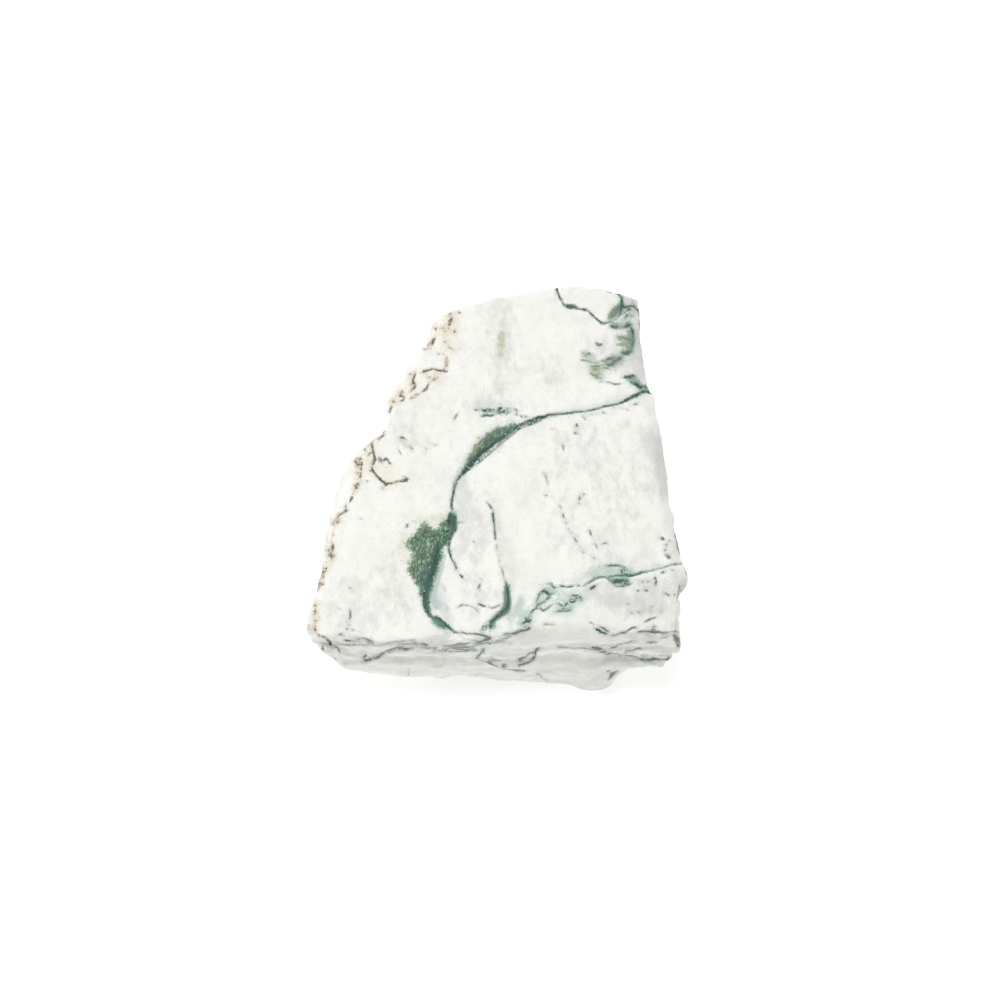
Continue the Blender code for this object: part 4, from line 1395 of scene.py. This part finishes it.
def mark(mesh, places):
    """Store every marking on the mesh, and return the pixels and depths they were read at."""
    behind = depth_behind(mesh, places)
    pixels = wandered(pixels_of(places), places, behind)
    fading = np.maximum(0.0, 1.0 - behind / FLECKS_END_MM)
    store(mesh, "behind", behind)
    for name, seams in SEAMS.items():
        store(mesh, name, seam_field(pixels, seams))
    for name, patches in PATCHES.items():
        moss = patch_field(pixels, patches)
        moss[:, 0] -= MOSS_CLOSES * behind
        store(mesh, name, moss)
    for name, flecks in FLECKS.items():
        store(mesh, name, fleck_field(pixels, flecks) * fading)
    hidden = smooth(behind, BRAID_FROM_MM, BRAID_TO_MM)
    store(mesh, "braid", np.maximum(fleck_field(pixels, BRAID_FLECKS), HIDDEN_BRAID * hidden))
    return pixels, behind


def step_heights(pixels, behind):
    """The steps' heights at each pixel, in millimetres."""
    height = np.zeros(len(pixels))
    for rise, reach, width, stroke in STEPS:
        path = eased(stroke)
        rows = near(pixels, path, reach)
        if not len(rows):
            continue
        gap, side, _, past, _ = follow(pixels[rows], path)
        share = smooth(-side / width, -0.5, 0.5) - 0.5
        fade = smooth(1.0 - gap / reach) * smooth(1.0 - past / (2 * width))
        height[rows] += rise * share * fade
    return height * smooth(STEPS_END_MM - behind, 0.0, STEPS_FADE_MM)


def texture(name, kind, size, **settings):
    """A pattern of this size, in metres, to raise the surface by."""
    made = bpy.data.textures.new(name, kind)
    made.noise_scale = size
    for key, value in settings.items():
        setattr(made, key, value)
    return made


def plates(name, size):
    """A pattern of plates that meet in crevices. Its height is how much nearer a plate's own
    middle is than the next one's."""
    return texture(name, "VORONOI", size, weight_1=-1.0, weight_2=1.0)


def raise_by(stone, name, height, group, pattern=None, middle=0.5, guide=None):
    """Move the surface out by a group's weights, times a pattern if there is one, and keep the
    result. A pattern's own middle stays where it is."""
    displace = stone.modifiers.new(name, "DISPLACE")
    displace.strength = height
    displace.mid_level = middle
    displace.direction = "NORMAL"
    displace.vertex_group = group
    if pattern is not None:
        displace.texture = pattern
        displace.texture_coords = "OBJECT" if guide else "LOCAL"
        displace.texture_coords_object = guide
    make_active(stone)
    bpy.ops.object.modifier_apply(modifier=displace.name)
    if pattern is not None:
        bpy.data.textures.remove(pattern)


def groove_depths(mesh, count):
    """How deep the grooves are at each point, from 0 to 1, over the seams stored on the mesh."""
    grooves = np.zeros(count)
    for name in GROOVED:
        field = np.empty(count * 3, np.float32)
        mesh.attributes[name].data.foreach_get("vector", field)
        across, _, half = field.reshape(-1, 3).T
        deep = smooth((half + GROOVE_LIP_MM - np.abs(across)) / GROOVE_SOFT_MM) * (half > 0.0)
        grooves = np.maximum(grooves, deep)
    return grooves


def roughen(stone, look, pixels, behind):
    """The relief of broken quartz: lumps, chips, thin beds, steps, grooves and grain."""
    places, facing = corners(stone.data), normals(stone.data)
    lifted = smooth(places[:, 2] / MM, RELIEF_FROM_MM, RELIEF_TO_MM)
    top = smooth(facing[:, 2], TOP_FROM, TOP_TO) * (behind < TOP_BEHIND_MM)
    steps = step_heights(pixels, behind) * lifted
    tallest = np.abs(steps).max()
    weigh(stone, "lifted", lifted)
    weigh(stone, "sides", (1.0 - top) * lifted)
    weigh(stone, "grooves", groove_depths(stone.data, len(pixels)) * lifted)
    weigh(stone, "rises", np.maximum(steps, 0.0) / tallest)
    weigh(stone, "falls", np.maximum(-steps, 0.0) / tallest)
    beds = bpy.data.objects.new("beds guide", None)
    beds.scale = [size * MM for size in BED_PLATE]
    beds.rotation_euler = BED_TILT
    bpy.context.scene.collection.objects.link(beds)
    bpy.context.view_layer.update()
    lumps = texture("lumps", "CLOUDS", LUMP_MM * MM, noise_depth=1)
    raise_by(stone, "lumps", look.lump_height, "lifted", lumps)
    chips = plates("chips", CHIP_MM * MM)
    raise_by(stone, "chips", look.chip_depth, "sides", chips, PLATE_LEVEL)
    # The beds' guide gives them their size.
    raise_by(stone, "beds", look.bed_height, "sides", plates("beds", 1.0), PLATE_LEVEL, beds)
    hackle = plates("hackle", HACKLE_MM * MM)
    raise_by(stone, "hackle", look.hackle_height, "sides", hackle, PLATE_LEVEL)
    raise_by(stone, "rises", tallest * MM, "rises", middle=0.0)
    raise_by(stone, "falls", -tallest * MM, "falls", middle=0.0)
    raise_by(stone, "grooves", -look.groove_depth, "grooves", middle=0.0)
    grain = texture("grain", "CLOUDS", GRAIN_MM * MM, noise_depth=2)
    raise_by(stone, "grain", look.grain_height, "lifted", grain)
    bpy.data.objects.remove(beds)
    stone.vertex_groups.clear()


class Bench:
    """Puts nodes into a material, each new one after those that it reads."""

    ROWS = 8
    STEP_ACROSS, STEP_DOWN = 180, 220

    def __init__(self, material):
        material.use_nodes = True
        self.tree = material.node_tree
        self.tree.nodes.clear()
        self.places = self.add("ShaderNodeTexCoord").outputs["Object"]

    def add(self, kind, **settings):
        node = self.tree.nodes.new(kind)
        column, row = divmod(len(self.tree.nodes), self.ROWS)
        node.location = (self.STEP_ACROSS * column, -self.STEP_DOWN * row)
        for key, value in settings.items():
            setattr(node, key, value)
        return node

    def feed(self, socket, value):
        """Link a socket's output to this input, or set the input to a plain value."""
        if isinstance(value, bpy.types.NodeSocket):
            self.tree.links.new(value, socket)
        else:
            socket.default_value = value

    def work_out(self, operation, *values, clamp=False):
        node = self.add("ShaderNodeMath", operation=operation, use_clamp=clamp)
        for socket, value in zip(node.inputs, values):
            self.feed(socket, value)
        return node.outputs[0]

    def plus(self, first, second):
        return self.work_out("ADD", first, second)

    def times(self, first, second, clamp=False):
        return self.work_out("MULTIPLY", first, second, clamp=clamp)

    def scaled(self, value, factor, offset=0.0):
        return self.work_out("MULTIPLY_ADD", value, factor, offset)

    def swing(self, cloud, height):
        """Noise that runs round 0.5, made to run round 0 and this much higher."""
        return self.scaled(cloud, height, -height / 2)

    def ramp(self, value, low, high, top=1.0):
        """0 where the value is low, top where it is high, and an even curve between."""
        node = self.add("ShaderNodeMapRange", interpolation_type="SMOOTHSTEP")
        ends = {"Value": value, "From Min": low, "From Max": high, "To Max": top}
        for name, given in ends.items():
            self.feed(node.inputs[name], given)
        return node.outputs["Result"]

    def stretched(self, sizes, turn=(0.0, 0.0, 0.0), shift=(0.0, 0.0, 0.0)):
        """The places in a frame whose unit is these sizes, in millimetres."""
        node = self.add("ShaderNodeMapping", vector_type="TEXTURE")
        node.inputs["Scale"].default_value = [size * MM for size in sizes]
        node.inputs["Rotation"].default_value = turn
        node.inputs["Location"].default_value = [step * MM for step in shift]
        self.feed(node.inputs["Vector"], self.places)
        return node.outputs["Vector"]

    def noise(self, places, scale, detail, rough):
        node = self.add("ShaderNodeTexNoise")
        node.inputs["Scale"].default_value = scale
        node.inputs["Detail"].default_value = detail
        node.inputs["Roughness"].default_value = rough
        self.feed(node.inputs["Vector"], places)
        return node

    def cloud(self, size, detail, rough):
        """Cloudy noise of this size in millimetres, round 0.5."""
        return self.noise(self.places, 1.0 / (size * MM), detail, rough).outputs["Fac"]

    def streaks(self, sizes, detail, rough, **frame_settings):
        """Cloudy noise stretched to these sizes in millimetres, round 0.5."""
        places = self.stretched(sizes, **frame_settings)
        return self.noise(places, 1.0, detail, rough).outputs["Fac"]

    def cells(self, size):
        """How far the nearest of many scattered points is, where they lie this many
        millimetres apart."""
        node = self.add("ShaderNodeTexVoronoi")
        node.inputs["Scale"].default_value = 1.0 / (size * MM)
        self.feed(node.inputs["Vector"], self.places)
        return node.outputs["Distance"]

    def read(self, name):
        """A number that is stored on the mesh."""
        return self.add("ShaderNodeAttribute", attribute_name=name).outputs["Fac"]

    def read_three(self, name):
        """Three numbers that are stored on the mesh."""
        stored = self.add("ShaderNodeAttribute", attribute_name=name)
        parts = self.add("ShaderNodeSeparateXYZ")
        self.feed(parts.inputs[0], stored.outputs["Vector"])
        return parts.outputs

    def tint(self, share, under, over):
        """One colour laid over another by this share."""
        node = self.add("ShaderNodeMix", data_type="RGBA")
        self.feed(node.inputs[0], share)
        self.feed(node.inputs[6], under)
        self.feed(node.inputs[7], over)
        return node.outputs[2]


def laid_seams(bench, name, colour, tones, wobble, grain, drift, halo, crumbling):
    """A family of seams over a colour: a faint halo, a core that darkens and pales along its
    way, and crumbs beside it."""
    across, _, half = bench.read_three(name)
    # The grain makes the seam swell and shrink.
    full = bench.times(half, bench.scaled(grain, 0.9, 0.50))
    off = bench.work_out("ABSOLUTE", bench.plus(across, wobble))
    depth = bench.work_out("SUBTRACT", full, off)
    around = bench.plus(depth, bench.swing(grain, 1.2))
    colour = bench.tint(bench.ramp(around, HALO_FROM, HALO_TO, halo), colour, tones[1])
    ending = bench.work_out("MINIMUM", bench.scaled(depth, CRUMBS_END), 0.0)
    crumbs = bench.ramp(bench.plus(grain, ending), CRUMBS_FROM, CRUMBS_TO, crumbling)
    colour = bench.tint(crumbs, colour, tones[1])
    broken = bench.plus(depth, bench.swing(grain, 0.5))
    core = bench.ramp(broken, -CORE_EDGE, CORE_EDGE)
    mixed = bench.tint(bench.ramp(grain, 0.40, 0.62), *tones)
    # The drift thins the colour in places along the seam, and a hairline is faint all along.
    strength = bench.times(core, bench.scaled(drift, -2.4, 2.15), clamp=True)
    strength = bench.times(strength, bench.ramp(half, 0.0, FULL_HALF_MM))
    return bench.tint(strength, colour, mixed)


def laid_flecks(bench, name, colour, tones, speckle, cloud, haze, specks):
    """A family of flecks over a colour: a thin haze of the first tone, with specks of the
    second where it is dense."""
    dense = bench.read(name)
    smoke = bench.plus(dense, bench.swing(cloud, 0.7))
    colour = bench.tint(bench.ramp(smoke, 0.05, 1.0, haze), colour, tones[0])
    above = bench.plus(speckle, bench.scaled(dense, 0.36, -0.80))
    return bench.tint(bench.ramp(above, -0.04, 0.08, specks), colour, tones[1])


def braid(bench, sizes, line, cloud):
    """A net of thin lines round stretched cells: the share of each place, broken in places."""
    bend = bench.noise(bench.stretched(sizes), 0.9, 2.0, 0.5)
    moved = bench.add("ShaderNodeVectorMath", operation="MULTIPLY_ADD")
    bench.feed(moved.inputs[0], bend.outputs["Color"])
    moved.inputs[1].default_value = (1.3, 1.3, 1.3)
    bench.feed(moved.inputs[2], bench.stretched(sizes))
    net = bench.add("ShaderNodeTexVoronoi", feature="DISTANCE_TO_EDGE")
    net.inputs["Scale"].default_value = 1.0
    bench.feed(net.inputs["Vector"], moved.outputs["Vector"])
    lines = bench.ramp(net.outputs["Distance"], line, line * 0.15)
    return bench.times(lines, bench.ramp(cloud, 0.36, 0.56))


def unseen_seams(bench, look, colour, speckle):
    """Green seams, moss and stains of the sides and underside that the photograph hides."""
    hidden = bench.ramp(bench.read("behind"), 2.0, 7.0)
    warp = bench.cloud(9.0, 3.0, 0.55)
    nearest = None
    # Each seam is a warped sheet through the stone: its normal, how far along it the sheet
    # lies and half its thickness, in millimetres.
    for normal, offset, width in (
        ((0.55, 0.25, 0.80), 3.0, 0.16),
        ((-0.35, 0.85, 0.40), -9.0, 0.12),
        ((0.85, -0.30, -0.40), 12.0, 0.10),
    ):
        dot = bench.add("ShaderNodeVectorMath", operation="DOT_PRODUCT")
        bench.feed(dot.inputs[0], bench.places)
        dot.inputs[1].default_value = [part / MM for part in normal]
        level = bench.plus(dot.outputs["Value"], bench.scaled(warp, 16.0, -8.0 - offset))
        edge = bench.work_out("SUBTRACT", width, bench.work_out("ABSOLUTE", level))
        sheet = bench.plus(edge, bench.swing(speckle, 0.6))
        nearest = bench.work_out("MAXIMUM", nearest, sheet) if nearest else sheet
    seam = bench.ramp(nearest, -0.08, 0.12)
    patches = bench.streaks((8.0, 8.0, 5.0), 4.0, 0.6, shift=(3.0, 7.0, 1.0))
    moss = bench.ramp(bench.plus(patches, bench.swing(speckle, 0.30)), 0.64, 0.70)
    stain = bench.streaks((11.0, 11.0, 4.0), 4.0, 0.6, shift=(-5.0, 2.0, 4.0))
    rust = bench.ramp(bench.plus(stain, bench.scaled(speckle, 0.35, -0.17)), 0.66, 0.78, 0.55)
    colour = bench.tint(bench.times(rust, hidden), colour, look.rust)
    colour = bench.tint(bench.times(moss, hidden), colour, look.moss_green)
    return bench.tint(bench.times(seam, hidden), colour, look.deep_teal)


def fibred(bench, look, green, tone, deepest, fine):
    """Dark and pale fibres over the green of a patch, paler where its tone is the first one,
    and nearly none where it is deepest."""
    fibres = bench.streaks((0.26, 1.3, 0.45), 3.0, 0.6, turn=(0.0, 0.0, 0.15))
    crossing = bench.streaks(
        (0.30, 1.0, 0.40), 2.0, 0.6, turn=(0.0, 0.0, -0.50), shift=(9.0, 4.0, 2.0)
    )
    green = bench.tint(bench.ramp(fibres, 0.52, 0.36, 0.60), green, look.deepest)
    green = bench.tint(bench.ramp(fine, 0.50, 0.32, 0.45), green, look.deepest)
    clear = bench.scaled(deepest, -0.90, 1.0)
    pale = bench.times(bench.scaled(tone, -1.0, 1.35), clear)
    patchy = bench.times(bench.ramp(fine, 0.38, 0.58), pale)
    light = bench.times(bench.ramp(crossing, 0.48, 0.68), patchy)
    green = bench.tint(light, green, look.pale_moss)
    light = bench.times(bench.ramp(fibres, 0.55, 0.72, 0.65), clear)
    return bench.tint(light, green, look.pale_moss)


def laid_moss(bench, look, name, colour, tones, fine, speckle):
    """Patches of moss of dark and pale fibres: feathered and olive at the upper left, where the
    first tone shows, and sharp at the lower right, where the second does."""
    depth, tone, cover = bench.read_three(name)
    # The edge frays more where the tone is the first one.
    loose = bench.scaled(tone, -1.6, 1.9)
    ragged = bench.plus(bench.swing(fine, 1.2), bench.swing(speckle, 1.1))
    frayed = bench.plus(depth, bench.times(ragged, loose))
    mossy = bench.times(bench.ramp(frayed, MOSS_FROM, MOSS_TO), cover)
    deep = bench.ramp(bench.plus(tone, bench.swing(fine, 1.0)), 0.30, 0.82)
    green = bench.tint(deep, *tones)
    fringe = bench.times(bench.ramp(depth, 1.3, 0.0, 0.45), bench.ramp(tone, 0.65, 0.25))
    green = bench.tint(fringe, green, look.olive)
    deepest = bench.read("deep_flecks")
    green = bench.tint(bench.scaled(deepest, 0.95), green, look.deep_teal)
    green = bench.tint(bench.scaled(deepest, 0.30), green, look.deepest)
    green = fibred(bench, look, green, tone, deepest, fine)
    colour = bench.tint(bench.ramp(depth, HAZE_FROM, HAZE_TO, 0.34), colour, look.mint)
    return bench.tint(mossy, colour, green)


def milky(bench, look, broad, fine, speckle):
    """The quartz under the markings: milky, with clouds, greyer or bluer where it clears, and
    greyer too where shade is painted.
    """
    both = bench.plus(bench.scaled(broad, 0.65), bench.scaled(fine, 0.35))
    colour = bench.tint(bench.ramp(both, 0.46, 0.70, 0.26), look.milk_white, look.cloud_and_shade_grey)
    mottle = bench.streaks((1.5, 2.8, 1.5), 3.0, 0.6, shift=(2.0, 8.0, 3.0))
    colour = bench.tint(bench.ramp(mottle, 0.46, 0.62, 0.13), colour, look.cloud_and_shade_grey)
    colour = bench.tint(bench.ramp(speckle, 0.50, 0.70, 0.17), colour, look.cloud_and_shade_grey)
    # Clearer quartz and painted shade, then bluish ice.
    for name, tone, mottled, most in (
        ("clear_and_shade_flecks", look.cloud_and_shade_grey, 1.5, 0.75),
        ("ice_flecks", look.ice_blue, 1.1, 0.80),
    ):
        dense = bench.plus(bench.read(name), bench.swing(mottle, mottled))
        colour = bench.tint(bench.ramp(dense, 0.10, 0.95, most), colour, tone)
    return colour


def sparkling(bench, look, colour):
    """Small white crystals with painted glints on them: a few all over, and crowds of smaller
    ones.
    """
    sparks = bench.ramp(bench.cells(1.3), 0.15, 0.07, 0.55)
    colour = bench.tint(sparks, colour, look.crystal_and_glint_white)
    crowd = bench.scaled(bench.read("crystal_and_glint_flecks"), -0.42)
    glints = bench.ramp(bench.plus(bench.cells(0.5), crowd), 0.09, -0.06, 0.70)
    return bench.tint(glints, colour, look.crystal_and_glint_white)


def coloured(bench, look, speckle):
    """The stone's colour, from the bottom layer up: quartz with some painted shade, stains, moss,
    seams with some painted shadow lines, and crystals with painted glints.
    """
    broad = bench.cloud(BROAD_MM, 2.0, 0.5)
    fine = bench.cloud(FINE_MM, 3.0, 0.55)
    wobble = bench.swing(bench.cloud(WOBBLE_MM, 4.0, 0.65), 0.6)
    drift = bench.streaks((1.2, 1.2, 1.2), 1.0, 0.5, shift=(5.0, 1.0, 7.0))
    calm = bench.plus(bench.scaled(speckle, 0.55), bench.scaled(fine, 0.45))

    colour = milky(bench, look, broad, fine, speckle)
    colour = unseen_seams(bench, look, colour, speckle)
    for name, tones, haze, specks in (
        ("rust_flecks", (look.rust, look.bark), 0.60, 0.60),
        ("olive_flecks", (look.olive, look.olive), 0.42, 0.35),
        ("moss_flecks", (look.mint, look.deep_teal), 0.75, 0.80),
    ):
        colour = laid_flecks(bench, name, colour, tones, speckle, fine, haze, specks)
    for name, tones in (
        ("teal", (look.pale_moss, look.sea_green)),
        ("moss", (look.moss_green, look.deep_teal)),
    ):
        colour = laid_moss(bench, look, name, colour, tones, fine, speckle)
    for name, tones, halo, crumbling in (
        ("olive_seams", (look.moss_green, look.olive), 0.30, 0.60),
        ("green_seams", (look.deepest, look.deep_teal), 0.42, 0.70),
    ):
        colour = laid_seams(bench, name, colour, tones, wobble, calm, drift, halo, crumbling)
    cracked = bench.ramp(bench.read("braid"), 0.0, 0.8, 0.50)
    bed_lines = bench.times(cracked, braid(bench, (5.0, 3.0, 0.8), 0.09, fine))
    colour = bench.tint(bed_lines, colour, look.crack_and_shadow_grey)
    # Dark flecks, some of them painted shade.
    tones = (look.crack_and_shadow_grey, look.dark)
    colour = laid_flecks(bench, "dark_and_shade_flecks", colour, tones, speckle, fine, 0.40, 0.60)
    for name, tones, grain, halo, crumbling in (
        # The dark seams hold the painted shadow lines too.
        ("dark_seams_and_shadow_lines", (look.dark, look.crack_and_shadow_grey), calm, 0.30, 0.30),
        ("brown_seams", (look.dendrite, look.bark), speckle, 0.25, 0.75),
    ):
        colour = laid_seams(bench, name, colour, tones, wobble, grain, drift, halo, crumbling)
    return sparkling(bench, look, colour)


def quartz(look):
    """Milky quartz with its moss and seams, and painted shade and glints: slightly translucent,
    with a sugary surface.
    """
    material = bpy.data.materials.new("tree agate")
    bench = Bench(material)
    speckle = bench.cloud(SPECKLE_MM, 2.0, 0.6)
    bump = bench.add("ShaderNodeBump")
    bump.inputs["Strength"].default_value = 0.30
    bump.inputs["Distance"].default_value = 0.10 * MM
    sugar = bench.plus(bench.scaled(speckle, 0.7), bench.scaled(bench.cells(0.8), 0.3))
    bench.feed(bump.inputs["Height"], sugar)
    shader = bench.add("ShaderNodeBsdfPrincipled")
    shader.inputs["IOR"].default_value = 1.54
    shader.inputs["Specular IOR Level"].default_value = 0.35
    shader.inputs["Subsurface Weight"].default_value = 0.25
    shader.inputs["Subsurface Radius"].default_value = (1.0, 1.0, 0.9)
    shader.inputs["Subsurface Scale"].default_value = 1.2 * MM
    bench.feed(shader.inputs["Base Color"], coloured(bench, look, speckle))
    bench.feed(shader.inputs["Roughness"], bench.scaled(speckle, 0.4, 0.36))
    bench.feed(shader.inputs["Normal"], bump.outputs["Normal"])
    finish = bench.add("ShaderNodeOutputMaterial")
    bench.feed(finish.inputs["Surface"], shader.outputs["BSDF"])
    return material


class AGATE_OT_stone(bpy.types.Operator):
    """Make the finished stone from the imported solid"""

    bl_idname = "agate.stone"
    bl_label = "Make the stone"

    def execute(self, context):
        look = context.scene.agate_stone
        stone = even_copy(look.spacing)
        pixels, behind = mark(stone.data, corners(stone.data))
        roughen(stone, look, pixels, behind)
        stone.data.materials.append(quartz(look))
        make_active(stone)
        bpy.ops.object.shade_smooth()
        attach(stone, "root")
        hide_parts(NODE)
        return {"FINISHED"}


def lay_floor(look):
    """A plain pale floor that glows a little."""
    bpy.ops.mesh.primitive_plane_add(size=look.floor_side, location=(0.0, 0.0, 0.0))
    floor = bpy.context.active_object
    floor.name = "floor"
    material = bpy.data.materials.new("plain floor")
    material.use_nodes = True
    shader = material.node_tree.nodes["Principled BSDF"]
    shader.inputs["Base Color"].default_value = look.floor_colour
    shader.inputs["Roughness"].default_value = 0.9
    shader.inputs["Specular IOR Level"].default_value = 0.1
    shader.inputs["Emission Color"].default_value = look.floor_colour
    shader.inputs["Emission Strength"].default_value = look.floor_glow
    floor.data.materials.append(material)


def hang_light(power):
    """A large soft light that faces the stone."""
    lamp = bpy.data.lights.new("key", "AREA")
    lamp.size = KEY_SIDE
    lamp.energy = power
    light = bpy.data.objects.new("key", lamp)
    light.location = KEY_PLACE
    light.rotation_euler = (AIM - Vector(KEY_PLACE)).to_track_quat("-Z", "Y").to_euler()
    bpy.context.scene.collection.objects.link(light)


def light_sky(strength):
    """Even light from all round."""
    world = bpy.data.worlds.new("even sky")
    bpy.context.scene.world = world
    world.use_nodes = True
    sky = world.node_tree.nodes["Background"]
    sky.inputs["Color"].default_value = (1.0, 1.0, 1.0, 1.0)
    sky.inputs["Strength"].default_value = strength


def place_camera(lens):
    """The photograph's camera."""
    data = bpy.data.cameras.new("camera")
    data.lens = lens
    data.sensor_width = SENSOR
    data.clip_start = 0.01
    camera = bpy.data.objects.new("camera", data)
    camera.location = EYE
    camera.rotation_euler = (-BACK).to_track_quat("-Z", "Y").to_euler()
    bpy.context.scene.collection.objects.link(camera)
    bpy.context.scene.camera = camera


class AGATE_OT_stage(bpy.types.Operator):
    """Lay the floor, hang the lights and place the camera"""

    bl_idname = "agate.stage"
    bl_label = "Set the stage"

    def execute(self, context):
        look = context.scene.agate_stage
        lay_floor(look)
        light_sky(look.sky)
        hang_light(look.key)
        place_camera(look.lens)
        context.scene.view_settings.view_transform = "Standard"
        return {"FINISHED"}


class AGATE_PT_panel(bpy.types.Panel):
    """Lists the stone's and the stage's settings and operators"""

    bl_idname = "AGATE_PT_panel"
    bl_label = "Tree agate"
    bl_space_type = "VIEW_3D"
    bl_region_type = "UI"
    bl_category = "Agate"

    def draw(self, context):
        for group, operator in (("agate_stone", AGATE_OT_stone), ("agate_stage", AGATE_OT_stage)):
            box = self.layout.box()
            settings = getattr(context.scene, group)
            for name in settings.bl_rna.properties.keys():
                if name not in ("rna_type", "name"):
                    box.prop(settings, name)
            box.operator(operator.bl_idname)


CLASSES = (AgateStone, AgateStage, AGATE_OT_stone, AGATE_OT_stage, AGATE_PT_panel)


def register():
    for kind in CLASSES:
        bpy.utils.register_class(kind)
    bpy.types.Scene.agate_stone = bpy.props.PointerProperty(type=AgateStone)
    bpy.types.Scene.agate_stage = bpy.props.PointerProperty(type=AgateStage)


def unregister():
    del bpy.types.Scene.agate_stage
    del bpy.types.Scene.agate_stone
    for kind in reversed(CLASSES):
        bpy.utils.unregister_class(kind)


def main():
    register()
    bpy.ops.agate.stone()
    bpy.ops.agate.stage()


if __name__ == "__main__":
    main()
